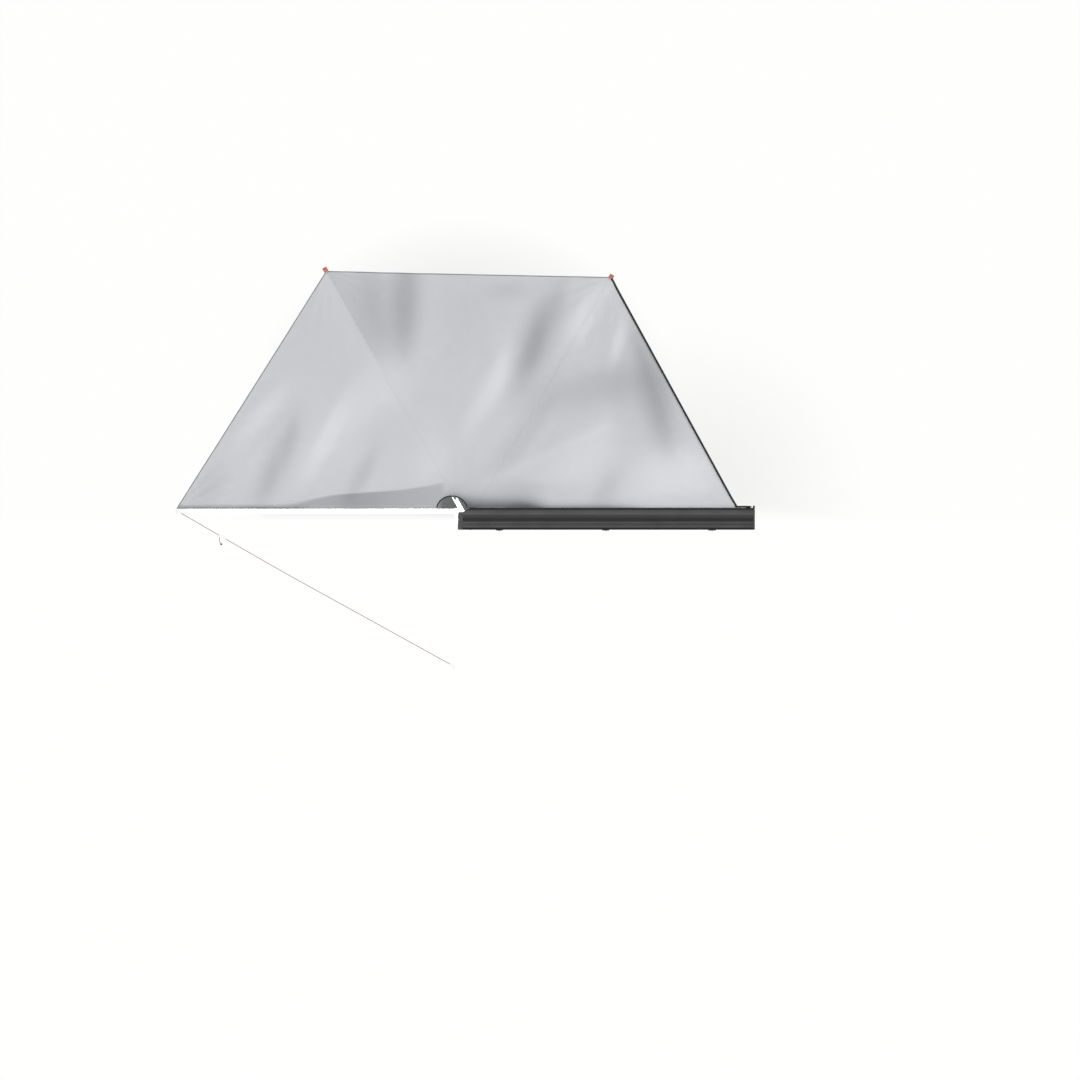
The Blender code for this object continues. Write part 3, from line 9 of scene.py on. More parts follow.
import bmesh
import bpy
import numpy as np
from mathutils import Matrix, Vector


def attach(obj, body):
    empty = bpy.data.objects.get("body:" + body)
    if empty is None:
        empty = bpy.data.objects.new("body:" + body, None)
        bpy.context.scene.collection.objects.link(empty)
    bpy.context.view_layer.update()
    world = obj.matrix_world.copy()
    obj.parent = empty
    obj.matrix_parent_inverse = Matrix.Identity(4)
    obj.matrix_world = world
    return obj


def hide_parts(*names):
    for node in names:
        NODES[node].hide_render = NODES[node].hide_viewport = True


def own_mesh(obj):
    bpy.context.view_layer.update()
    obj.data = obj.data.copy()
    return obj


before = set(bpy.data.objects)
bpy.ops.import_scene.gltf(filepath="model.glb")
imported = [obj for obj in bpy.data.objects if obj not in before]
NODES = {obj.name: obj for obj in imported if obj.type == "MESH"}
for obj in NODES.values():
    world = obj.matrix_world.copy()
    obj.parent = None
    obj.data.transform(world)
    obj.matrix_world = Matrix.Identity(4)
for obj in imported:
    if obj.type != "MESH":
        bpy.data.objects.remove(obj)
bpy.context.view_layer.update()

# The arms' pivots and directions, how far from each pivot the canopy's corner is, and the height
# of the arms' tops
PIVOTS = {"rear": (-1.327415, 0.173), "middle": (-1.254506, 0.129), "front": (-1.232, 0.085)}
ANGLES = {"rear": 180.0, "middle": 119.57, "front": 59.55}
REACH = {"rear": 2.4985, "middle": 2.5076, "front": 2.5185}
ARM_TOP = 0.142

# The case's lip, which holds the canopy, the canopy's corner on the case, and the case's depth
LIP_Y = 0.2006
LIP_Z = 0.1800
CASE_CORNER_X = 1.166
CASE_DEPTH = 0.21

# The canopy's straight edge along the rear arm
REAR_EDGE_Y = 0.1936

# The cut-out round the hub: an ellipse, whose half height is this part of its half width
CUT_CENTRE = (-1.370915, 0.182)
CUT_RADIUS = 0.131
CUT_FLAT = 0.90

# Half the gap between two panels, the cloth's thickness, and its gap over an arm
SEAM = 0.0003
CLOTH = 0.001
OVER_ARM = 0.0012

# The strap along the canopy's front edge, and its height at the case and at the arm's tip
STRAP_WIDTH = 0.020
STRAP_INWARD = 0.003
STRAP_HEIGHTS = (0.1747, 0.1427)
STRAP_SAG = 0.004

# The guy rope, its tail, and the loop through the rear tip's eye as steps from the rope's start
ROPE_RADIUS = 0.0025
LOOP_RADIUS = 0.0021
TAIL_KNOT_RADIUS = 0.0026
ROPE_ROUTE = (
    (-3.8138, 0.1676, 0.0910),
    (-3.4400, -0.0500, 0.0812),
    (-2.8300, -0.3998, 0.0665),
    (-2.1100, -0.7983, 0.0535),
    (-1.3970, -1.1930, 0.0450),
)
TAIL_ROUTE = (
    (-3.4467, -0.0602, 0.0811),
    (-3.4510, -0.0725, 0.0768),
    (-3.4525, -0.0880, 0.0650),
    (-3.4515, -0.1040, 0.0440),
    (-3.4490, -0.1155, 0.0200),
    (-3.4465, -0.1225, -0.0050),
)
LOOP_STEPS = (
    (0.0012, -0.0040, -0.0010),
    (-0.0020, 0.0004, 0.0005),
    (-0.0026, 0.0054, 0.0),
    (-0.0024, 0.0108, -0.0010),
    (-0.0018, 0.0128, -0.0075),
    (-0.0008, 0.0060, -0.0120),
    (0.0008, -0.0010, -0.0085),
    (0.0022, -0.0050, -0.0030),
)


# Small helpers


def direction(degrees):
    angle = math.radians(degrees)
    return np.array((math.cos(angle), math.sin(angle)))


def left_of(ahead):
    return np.array((-ahead[1], ahead[0]))


def unit(vector):
    return vector / np.linalg.norm(vector)


def arm_point(place, along, left=0.0):
    """A point on an arm's centre line, or to the left of it, as (x, y)."""
    ahead = direction(ANGLES[place])
    return np.array(PIVOTS[place]) + along * ahead + left * left_of(ahead)


def along_and_left(x, y, start, ahead):
    """How far places lie along a line from its start, and to the left of it."""
    along = (x - start[0]) * ahead[0] + (y - start[1]) * ahead[1]
    left = (y - start[1]) * ahead[0] - (x - start[0]) * ahead[1]
    return along, left


def distance_to(x, y, start, end):
    """How far places lie from the line from start to end."""
    start, end = np.array(start), np.array(end)
    length = np.linalg.norm(end - start)
    along, left = along_and_left(x, y, start, (end - start) / length)
    beyond = np.maximum(np.maximum(-along, along - length), 0.0)
    return np.hypot(left, beyond)


def smooth(value):
    value = np.clip(value, 0.0, 1.0)
    return value * value * (3 - 2 * value)


def ramp(value, start, width):
    """From 0 at the start to 1 after the width, smoothly."""
    return smooth((value - start) / width)


def bell(value):
    return np.exp(-(value**2))


def lengths_along(line):
    """The length travelled at each point of a line."""
    return np.concatenate([[0], np.cumsum(np.linalg.norm(np.diff(line, axis=0), axis=1))])


def tangents(line):
    ahead = np.gradient(line, axis=0)
    return ahead / np.linalg.norm(ahead, axis=1)[:, None]


# Materials


def times(colour, factor, more=0.0):
    return tuple(c * factor + more for c in colour)


class Nodes:
    """A node tree, with short ways to add nodes to it."""

    def __init__(self, tree):
        self.tree = tree

    def feed(self, socket, value):
        """Gives an input a number, a vector, a colour or another node's output."""
        if isinstance(value, bpy.types.NodeSocket):
            self.tree.links.new(value, socket)
        elif socket.type == "RGBA":
            socket.default_value = (*value, 1.0)
        else:
            socket.default_value = value

    def node(self, kind, *values, out=0, **settings):
        """An output of a new node that has these settings and, in order, these inputs."""
        made = self.tree.nodes.new("ShaderNode" + kind)
        for name, value in settings.items():
            setattr(made, name, value)
        for socket, value in zip(made.inputs, values):
            self.feed(socket, value)
        return made.outputs[out]

    def math(self, operation, *values):
        return self.node("Math", *values, operation=operation)

    def span(self, value, low, high, to_low=0.0, to_high=1.0):
        """A value's range mapped to another, clamped."""
        return self.node("MapRange", value, low, high, to_low, to_high)


class Look(Nodes):
    """A material round one Principled shader."""

    def __init__(self, name, roughness, metallic=0.0, **constants):
        self.material = bpy.data.materials.new(name)
        self.material.use_nodes = True
        super().__init__(self.material.node_tree)
        self.shader = self.tree.nodes["Principled BSDF"]
        constants.update(Roughness=roughness, Metallic=metallic)
        for socket, value in constants.items():
            self.shader.inputs[socket.replace("_", " ")].default_value = value
        coordinates = self.tree.nodes.new("ShaderNodeTexCoord")
        self.place = coordinates.outputs["Object"]
        self.uv = coordinates.outputs["UV"]

    def noise(self, scale, detail=3.0, rough=0.55, vector=None):
        made = self.tree.nodes.new("ShaderNodeTexNoise")
        self.feed(made.inputs["Vector"], vector or self.place)
        self.feed(made.inputs["Scale"], scale)
        self.feed(made.inputs["Detail"], detail)
        self.feed(made.inputs["Roughness"], rough)
        return made.outputs["Fac"]

    def bands(self, pitch, axis, vector=None):
        """Sine bands of this pitch across an axis, from 0 to 1."""
        made = self.tree.nodes.new("ShaderNodeTexWave")
        made.bands_direction = axis
        self.feed(made.inputs["Vector"], vector or self.place)
        self.feed(made.inputs["Scale"], math.pi / 10 / pitch)
        return made.outputs["Fac"]

    def mix(self, factor, first, second):
        """A colour between two colours."""
        made = self.tree.nodes.new("ShaderNodeMix")
        made.data_type = "RGBA"
        for number, value in zip((0, 6, 7), (factor, first, second)):
            self.feed(made.inputs[number], value)
        return made.outputs[2]

    def blend(self, mask, amount, tint, other):
        """A colour with this amount of another where the mask is."""
        return self.mix(self.math("MULTIPLY", mask, amount), tint, other)

    def weighed(self, first, share, second, other_share):
        """The sum of two values, each times its share."""
        parts = (self.math("MULTIPLY", first, share), self.math("MULTIPLY", second, other_share))
        return self.math("ADD", *parts)

    def turned(self, degrees, stretch):
        """Object coordinates turned about z, then scaled, so that a grain runs along an arm."""
        back = (0, 0, math.radians(-degrees))
        turn = self.node("Mapping", self.place, (0, 0, 0), back, (1, 1, 1))
        return self.node("Mapping", turn, (0, 0, 0), (0, 0, 0), stretch)

    def distance_from(self, spot):
        """How far a place on the floor is from a spot."""
        away = self.node("VectorMath", self.place, (*spot, FLOOR_Z), operation="SUBTRACT")
        return self.node("VectorMath", away, operation="LENGTH", out="Value")

    def set(self, socket, value):
        self.feed(self.shader.inputs[socket], value)

    def bump(self, height, distance, strength):
        made = self.tree.nodes.new("ShaderNodeBump")
        self.feed(made.inputs["Strength"], strength)
        self.feed(made.inputs["Distance"], distance)
        self.feed(made.inputs["Height"], height)
        self.set("Normal", made.outputs["Normal"])


# Pitches of woven and braided patterns
WEAVE = 0.0011
RIPSTOP = 0.0065
RIBS = 0.0022
HERRINGBONE = 0.0016
BRAID = 0.0045
FLECKS = 0.018


def canvas_look(name, colour, shaded):
    """Coated ripstop canvas: a plain weave, a ripstop grid, fading, and light and shade painted
    into its colour.
    """
    look = Look(name, 0.62, Sheen_Weight=0.12, Specular_IOR_Level=0.42)
    weave = look.math("MULTIPLY", look.bands(WEAVE, "X"), look.bands(WEAVE, "Y"))
    grid = look.math("MAXIMUM", look.bands(RIPSTOP, "X"), look.bands(RIPSTOP, "Y"))
    ripstop = look.span(grid, 0.955, 1.0)
    fading = look.span(look.noise(0.9, 3.0), 0.30, 0.70)
    mottle = look.span(look.noise(16.0, 4.0), 0.25, 0.75)
    tint = look.mix(fading, colour, times(colour, 0.955))
    tint = look.blend(mottle, 0.22, tint, times(colour, 0.90))
    tint = look.blend(ripstop, 0.10, tint, times(colour, 0.82))
    # Painted light and shade: the shade attribute mixes the colour toward the painted shade colour
    fold = look.node("Attribute", attribute_name="shade", attribute_type="GEOMETRY", out="Fac")
    look.set("Base Color", look.mix(fold, tint, shaded))
    look.set("Roughness", look.span(mottle, 0.0, 1.0, 0.56, 0.68))
    look.bump(look.weighed(weave, 0.5, ripstop, 0.6), 0.00025, 0.5)
    return look.material


def webbing_look(name, colour, rough=0.72):
    """Flat woven tape: ribs across its length and a herringbone, by its own length and width."""
    look = Look(name, rough, Sheen_Weight=0.25)
    ribs, cords = look.bands(RIBS, "X", look.uv), look.bands(HERRINGBONE, "Y", look.uv)
    height = look.weighed(ribs, 0.6, cords, 0.4)
    dust = look.span(look.noise(9.0, 4.0), 0.35, 0.75)
    # The hollows of the weave are painted darker, as shade
    tint = look.blend(height, 0.5, times(colour, 0.62), colour)
    look.set("Base Color", look.blend(dust, 0.35, tint, times(colour, 1.35, 0.010)))
    look.bump(height, 0.0004, 0.7)
    return look.material


def thread_look(name, colour):
    """Polyester sewing thread with its twist."""
    look = Look(name, 0.5, Sheen_Weight=0.3)
    twist = look.noise(1400.0, 2.0)
    look.set("Base Color", look.mix(twist, times(colour, 0.8), colour))
    look.bump(twist, 0.0002, 0.6)
    return look.material


def coat_look(name, colour, dust_and_light_bands=()):
    """Powder coat on an extrusion: orange peel, die lines, rubbed spots, and dust with painted
    light on its flats.
    """
    rough = 0.52
    look = Look(name, rough, Specular_IOR_Level=0.28, Coat_Weight=0.03, Coat_Roughness=0.30)
    peel = look.noise(950.0, 2.0)
    lines = look.noise(420.0, 3.0, vector=look.turned(0.0, (0.012, 1.0, 1.0)))
    dust = look.span(look.noise(5.0, 5.0), 0.42, 0.80)
    rub = look.span(look.noise(38.0, 5.0), 0.64, 0.80)
    tint = look.blend(dust, 0.30, colour, times(colour, 1.9, 0.008))
    tint = look.blend(rub, 0.30, tint, times(colour, 3.0, 0.02))
    # Bands of dust and painted light across the case's top: lighter on its flats, left dark in its
    # grooves as painted shade
    if dust_and_light_bands:
        across = look.node("SeparateXYZ", look.place, out="Y")
        stops = look.tree.nodes.new("ShaderNodeValToRGB")
        for place, amount in dust_and_light_bands:
            stop = stops.color_ramp.elements.new(place / CASE_DEPTH)
            stop.color = (amount, amount, amount, 1.0)
        for end in (0, -1):
            stops.color_ramp.elements.remove(stops.color_ramp.elements[end])
        look.feed(stops.inputs["Fac"], look.span(across, 0.0, CASE_DEPTH))
        patchy = look.span(look.noise(3.0, 5.0), 0.1, 0.9, 0.75, 1.1)
        dust_and_light = look.math("MULTIPLY", stops.outputs["Color"], patchy)
        tint = look.mix(dust_and_light, tint, DUST_AND_PAINTED_LIGHT)
        look.set("Specular IOR Level", look.span(dust_and_light, 0.0, 0.35, 0.10, 0.34))
    look.set("Base Color", tint)
    worn = look.math("ADD", lines, dust)
    look.set("Roughness", look.span(worn, 0.3, 1.6, rough - 0.06, rough + 0.14))
    look.bump(look.weighed(peel, 0.5, lines, 0.6), 0.00012, 0.5)
    return look.material


def plastic_look(name, colour, rough, marks=1.0):
    """Moulded plastic: a fine spark grain, flow variation and scuffs."""
    look = Look(name, rough, Specular_IOR_Level=0.5)
    spark = look.noise(900.0, 2.0)
    flow = look.span(look.noise(14.0, 3.0), 0.3, 0.7)
    scuff = look.span(look.noise(85.0, 5.0, 0.7), 0.62, 0.78)
    tint = look.blend(flow, 0.5 * marks, colour, times(colour, 0.80))
    tint = look.blend(scuff, 0.35 * marks, tint, times(colour, 0.8, 0.10))
    look.set("Base Color", tint)
    look.set("Roughness", look.span(scuff, 0.0, 1.0, rough, rough + 0.18))
    look.bump(spark, 0.00018, 0.55)
    return look.material


def rubber_look(name, colour):
    """Moulded rubber with a grey bloom."""
    look = Look(name, 0.82, Specular_IOR_Level=0.35)
    fine = look.noise(700.0, 3.0)
    bloom = look.span(look.noise(26.0, 4.0), 0.4, 0.75)
    look.set("Base Color", look.blend(bloom, 0.4, colour, times(colour, 1.0, 0.035)))
    look.bump(fine, 0.0003, 0.6)
    return look.material


def drawn_look(name, colour, rough, degrees=0.0, stretch=0.02):
    """Extruded, anodised or drawn metal: a grain along its length, handling marks and dust."""
    look = Look(name, rough, 1.0)
    grain = look.noise(520.0, 4.0, vector=look.turned(degrees, (stretch, 1.0, 1.0)))
    cloud = look.span(look.noise(7.0, 4.0), 0.3, 0.75)
    mark = look.span(look.noise(60.0, 6.0, 0.7), 0.58, 0.75)
    tint = look.blend(grain, 0.30, colour, times(colour, 0.86))
    tint = look.blend(cloud, 0.25, tint, times(colour, 0.90))
    tint = look.blend(mark, 0.16, tint, times(colour, 0.62))
    look.set("Base Color", tint)
    worn = look.math("ADD", grain, mark)
    look.set("Roughness", look.span(worn, 0.3, 1.6, rough - 0.05, rough + 0.16))
    look.bump(grain, 0.00010, 0.35)
    return look.material


def cast_look(name, colour, rough):
    """Bead-blasted plate or casting."""
    look = Look(name, rough, 1.0)
    sand = look.noise(1100.0, 3.0)
    cloud = look.span(look.noise(22.0, 4.0), 0.3, 0.7)
    stain = look.span(look.noise(48.0, 6.0, 0.7), 0.60, 0.78)
    tint = look.blend(cloud, 0.4, colour, times(colour, 0.84))
    look.set("Base Color", look.blend(stain, 0.3, tint, times(colour, 0.55)))
    look.set("Roughness", look.span(cloud, 0.0, 1.0, rough - 0.06, rough + 0.10))
    look.bump(sand, 0.0002, 0.6)
    return look.material


def rope_look(name, colour, fleck):
    """Braided cord: crossed strands by the tube's own length and turn, with a reflective fleck."""
    look = Look(name, 0.58, Sheen_Weight=0.3)
    one = look.bands(BRAID, "DIAGONAL", look.uv)
    flip = look.node("Mapping", look.uv, (0, 0, 0), (0, 0, 0), (1, -1, 1))
    other = look.bands(BRAID, "DIAGONAL", flip)
    height = look.math("MAXIMUM", one, other)
    # The hollows between the strands are painted darker, as shade
    tint = look.mix(height, times(colour, 0.45), colour)
    spots = look.math("MULTIPLY", one, look.bands(FLECKS, "X", look.uv))
    look.set("Base Color", look.blend(look.span(spots, 0.80, 0.92), 0.8, tint, fleck))
    look.bump(height, 0.0006, 0.8)
    return look.material


# The floor. Each place is (x, y), then the radii between which the floor changes
FLOOR_Z = -2.05
FLOOR_TINT = (0.84, 0.84, 0.835)
FLOOR_TINT_2 = (0.83, 0.83, 0.826)
FLOOR_WHITE = (1.0, 1.0, 0.995)
OPEN_WHITE = 0.97
# Where a shadow is painted into the floor's colour round the hub
PAINTED_SHADOW_SPOT = ((-1.46, 0.29), 0.20, 0.50)
UNDER_CUT_OUT = ((-1.40, 0.24), 0.15, 0.34)
UNDER_CANOPY = ((-1.33, 0.9), 0.9, 2.2)
UNDER_FRONT_CORNER = ((0.95, 0.35), 0.45, 1.7)


def floor_look():
    """A plain pale floor that keeps shadows, reads white where it is lit, and is clear from below.

    The open floor shows as plain white to the eye. Under the canopy that white gives way to the
    shaded floor, and under the cut-out to that floor with a shadow painted into its colour.
    """
    look = Look("studio_floor", 0.9, Specular_IOR_Level=0.1)

    def span_round(place, low, high, *to):
        return look.span(look.distance_from(place), low, high, *to)

    tint = look.mix(look.span(look.noise(1.6, 3.0), 0.3, 0.7), FLOOR_TINT, FLOOR_TINT_2)
    # A shadow painted into the floor's colour round the hub
    painted_shadow_spot = span_round(*PAINTED_SHADOW_SPOT, 1.0, 0.0)
    look.set("Base Color", look.mix(painted_shadow_spot, tint, times(FLOOR_TINT, 0.46)))

    across = look.node("SeparateXYZ", look.place, out="Y")
    white = span_round(*UNDER_CANOPY, 0.0, OPEN_WHITE)
    white = look.math("MULTIPLY", white, span_round(*UNDER_FRONT_CORNER, 0.62, 1.0))
    white = look.math("MAXIMUM", white, look.span(across, 0.60, 0.10))
    past_spot = look.math("MAXIMUM", span_round(*UNDER_CUT_OUT), look.span(across, 0.207, 0.185))
    white = look.math("MULTIPLY", white, past_spot)

    rays = look.tree.nodes.new("ShaderNodeLightPath").outputs
    seen = look.math("MAXIMUM", rays["Is Camera Ray"], rays["Is Glossy Ray"])
    seen = look.math("MAXIMUM", seen, rays["Is Transmission Ray"])
    plain = look.node("Emission", FLOOR_WHITE)
    from_above = look.node(
        "MixShader", look.math("MULTIPLY", seen, white), look.shader.outputs[0], plain
    )
    below = look.node("NewGeometry", out="Backfacing")
    shown = look.node("MixShader", below, from_above, look.node("BsdfTransparent"))
    look.feed(look.tree.nodes["Material Output"].inputs["Surface"], shown)
    return look.material


# Dust and painted light on the case's top, lighter on its flats and dark in its grooves, from its
# back to its lip: the place across it, and the amount
DUST_AND_PAINTED_LIGHT = (0.125, 0.125, 0.128)
CASE_DUST_AND_PAINTED_LIGHT = (
    (0.004, 0.0),
    (0.018, 0.02),
    (0.030, 0.26),
    (0.041, 0.28),
    (0.050, 0.10),
    (0.058, 0.12),
    (0.066, 0.30),
    (0.076, 0.20),
    (0.086, 0.04),
    (0.098, 0.0),
    (0.106, 0.05),
    (0.112, 0.16),
    (0.132, 0.20),
    (0.144, 0.33),
    (0.160, 0.27),
    (0.174, 0.24),
    (0.183, 0.06),
    (0.192, 0.0),
)
COAT = (0.012, 0.012, 0.013)
# The cloth's colour, and the colour that its painted shade mixes toward
CLOTH_LIGHT = (0.740, 0.750, 0.778)
CLOTH_SHADED = (0.098, 0.099, 0.106)

CANVAS = canvas_look("light_grey_canvas", CLOTH_LIGHT, CLOTH_SHADED)
GREY_TAPE = webbing_look("grey_edge_tape", (0.26, 0.265, 0.275))
SEAM_TAPE = canvas_look("light_grey_seam", times(CLOTH_LIGHT, 0.985), CLOTH_SHADED)
BLACK_TAPE = webbing_look("black_webbing", (0.009, 0.009, 0.010), 0.85)
THREAD = thread_look("grey_thread", (0.62, 0.63, 0.66))
BLACK_COAT = coat_look("black_powder_coat", COAT)
CASE_COAT = coat_look("case_powder_coat", COAT, CASE_DUST_AND_PAINTED_LIGHT)
BLACK_PLASTIC = plastic_look("black_plastic", (0.014, 0.014, 0.015), 0.55)
WHITE_PLASTIC = plastic_look("white_plastic", (0.97, 0.97, 0.965), 0.35, marks=0.3)
RUBBER = rubber_look("black_rubber", (0.018, 0.018, 0.018))
ORANGE = plastic_look("orange_plastic", (0.52, 0.070, 0.028), 0.46)
STEEL = drawn_look("zinc_steel", (0.62, 0.62, 0.63), 0.30, stretch=1.0)
DULL_STEEL = drawn_look("dull_zinc_steel", (0.13, 0.13, 0.14), 0.55, stretch=1.0)
BRONZE = cast_look("bronze_bush", (0.50, 0.31, 0.14), 0.34)
HUB_METAL = cast_look("hub_aluminium", (0.86, 0.865, 0.875), 0.36)
KNUCKLE_METAL = cast_look("cast_aluminium", (0.84, 0.845, 0.855), 0.40)
WHITE_METAL = drawn_look("white_metal", (0.88, 0.88, 0.89), 0.22, stretch=1.0)
ROPE = rope_look("red_rope", (0.32, 0.014, 0.010), (0.44, 0.17, 0.12))
DARK_ROPE = rope_look("red_rope_knot", (0.075, 0.008, 0.014), (0.14, 0.06, 0.07))
ARM_METAL = {
    place: drawn_look(f"{place}_arm_aluminium", (0.88, 0.885, 0.895), 0.30, ANGLES[place])
    for place in PIVOTS
}


def dress_nodes():
    """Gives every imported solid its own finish, by its name, its name's end or its arm."""
    looks = {
        "case_body": CASE_COAT,
        "front_cover": BLACK_COAT,
        "hub_bracket": HUB_METAL,
        "arm_rest": RUBBER,
        "cover_seal": RUBBER,
        "rear_tip": WHITE_PLASTIC,
        "rope_tensioner": WHITE_PLASTIC,
        "rope_hook": WHITE_METAL,
    }
    ends = {
        "_end_cap": BLACK_PLASTIC,
        "_latch": BLACK_PLASTIC,
        "_leg_clamp": BLACK_PLASTIC,
        "_rack_bracket": BLACK_COAT,
        "_bush": BRONZE,
        "_knuckle": KNUCKLE_METAL,
        "_tip": ORANGE,
        "_clamp_lever": ORANGE,
        "_leg_foot": RUBBER,
        "_bolt": STEEL,
        "_leg_pin": STEEL,
        "_rod": DULL_STEEL,
        "strap_anchor": DULL_STEEL,
    }
    for name, node in NODES.items():
        found = looks.get(name) or next((ends[end] for end in ends if name.endswith(end)), None)
        found = found or ARM_METAL.get(name.split("_")[0])
        if found:
            node.data.materials.clear()
            node.data.materials.append(found)


# Mesh helpers


def add_to_scene(name, data):
    obj = bpy.data.objects.new(name, data)
    bpy.context.scene.collection.objects.link(obj)
    return obj


def new_object(name, mesh, look, body):
    mesh.materials.append(look)
    obj = add_to_scene(name, mesh)
    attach(obj, body)
    return obj


def mesh_of(name, points, faces, uvs=None, sharp=None):
    """A mesh of numpy points and faces, smooth below the sharp angle, with its outside out."""
    mesh = bpy.data.meshes.new(name)
    mesh.from_pydata([tuple(p) for p in points], [], [tuple(f) for f in faces])
    if uvs is not None:
        layer = mesh.uv_layers.new(name="UVMap")
        for loop in mesh.loops:
            layer.data[loop.index].uv = uvs[loop.vertex_index]
    mesh.update()
    mesh.shade_smooth()
    if sharp:
        mesh.set_sharp_from_angle(angle=math.radians(sharp))
    turned = bmesh.new()
    turned.from_mesh(mesh)
    bmesh.ops.recalc_face_normals(turned, faces=turned.faces)
    turned.to_mesh(mesh)
    turned.free()
    return mesh


def shade_mesh(mesh, shade):
    """Writes how much shade is painted at each point, for the canvas's colour to read."""
    layer = mesh.attributes.new("shade", "FLOAT", "POINT")
    layer.data.foreach_set("value", shade.astype(np.float32))


def sheet_faces(rows, columns):
    """Faces of a closed sheet: a top grid, a bottom grid and the rim between them."""
    count = (rows + 1) * (columns + 1)
    faces = []
    for i in range(rows):
        for j in range(columns):
            a = i * (columns + 1) + j
            b, c, d = a + columns + 1, a + columns + 2, a + 1
            faces.append((a, b, c, d))
            faces.append((a + count, d + count, c + count, b + count))
    rim = [i * (columns + 1) for i in range(rows + 1)]
    rim += [rows * (columns + 1) + j for j in range(1, columns + 1)]
    rim += [i * (columns + 1) + columns for i in reversed(range(rows))]
    rim += list(reversed(range(1, columns)))
    for a, b in zip(rim, rim[1:] + rim[:1]):
        faces.append((b, a, a + count, b + count))
    return faces


# A tape's section: places across it as parts of its width, and its bulge there as parts of its
# thickness
TAPE_ACROSS = (-0.5, -0.46, -0.25, 0.0, 0.25, 0.46, 0.5)
TAPE_BULGE = (0.35, 0.92, 1.0, 1.0, 1.0, 0.92, 0.35)


def strip(name, line, width, thick, look, body, lift=0.0):
    """A flat tape along a line of points: closed, with its length and width as UV."""
    line = np.array(line, float)
    ahead = tangents(line)
    side = np.cross((0, 0, 1.0), ahead)
    side /= np.linalg.norm(side, axis=1)[:, None]
    up = np.cross(ahead, side)
    travelled = lengths_along(line)
    across, bulge = np.array(TAPE_ACROSS) * width, np.array(TAPE_BULGE) * thick
    points, uvs = [], []
    for level in (1, 0):
        for i in range(len(line)):
            for a, b in zip(across, bulge):
                points.append(line[i] + side[i] * a + up[i] * (lift + (b if level else 0.0)))
                uvs.append((travelled[i], a))
    mesh = mesh_of(name, points, sheet_faces(len(line) - 1, len(across) - 1), uvs, 50)
    return new_object(name, mesh, look, body)


def smooth_route(route, count):
    """Points evenly spread on a smooth curve through the route's own points, and its length."""
    route = [Vector(p) for p in route]
    ends = [2 * route[0] - route[1]] + route + [2 * route[-1] - route[-2]]
    fine = []
    for i in range(1, len(ends) - 2):
        a, b, c, d = ends[i - 1 : i + 3]
        for step in range(40):
            t = step / 40
            bend, twist = 2 * a - 5 * b + 4 * c - d, 3 * b - a - 3 * c + d
            fine.append(0.5 * (2 * b + (c - a) * t + bend * t * t + twist * t**3))
    fine.append(route[-1])
    fine = np.array([tuple(p) for p in fine])
    lengths = lengths_along(fine)
    want = np.linspace(0, lengths[-1], count)
    return np.column_stack([np.interp(want, lengths, fine[:, k]) for k in range(3)]), lengths[-1]


def tube(name, path, radius, look, sides=12):
    """A closed round cord on the rear arm, with its length and turn as UV."""
    path = np.array(path, float)
    ahead = tangents(path)
    side = np.cross(ahead[0], (0.0, 0.0, 1.0))
    if np.linalg.norm(side) < 0.1:
        side = np.cross(ahead[0], (1.0, 0.0, 0.0))
    travelled = lengths_along(path)
    points, uvs, faces = [], [], []
    for i, (place, along) in enumerate(zip(path, ahead)):
        side = unit(side - along * (side @ along))
        up = np.cross(along, side)
        for k in range(sides):
            angle = 2 * math.pi * k / sides
            points.append(place + radius * (math.cos(angle) * side + math.sin(angle) * up))
            uvs.append((travelled[i], radius * angle))
    last = (len(path) - 1) * sides
    for i in range(0, last, sides):
        for k in range(sides):
            a, b = i + k, i + (k + 1) % sides
            faces.append((a, b, b + sides, a + sides))
    faces.append(tuple(reversed(range(sides))))
    faces.append(tuple(range(last, last + sides)))
    mesh = mesh_of(name, points, faces, uvs, 60)
    return new_object(name, mesh, look, "rear_swing")


def knot(name, centre, ahead, size, radius, look):
    """A round stopper knot: the rope passes three times round itself."""
    ahead = Vector(ahead).normalized()
    side = ahead.orthogonal().normalized()
    up = ahead.cross(side)
    loop, swing = size * 0.26, size * 0.14
    path = []
    for i in range(97):
        turn = 2 * math.pi * i / 96
        out = loop + swing * math.cos(3 * turn)
        place = Vector(centre) + out * (math.cos(2 * turn) * side + math.sin(2 * turn) * up)
        path.append(tuple(place + swing * 1.25 * math.sin(3 * turn) * ahead))
    return tube(name, path, radius, look, 10)
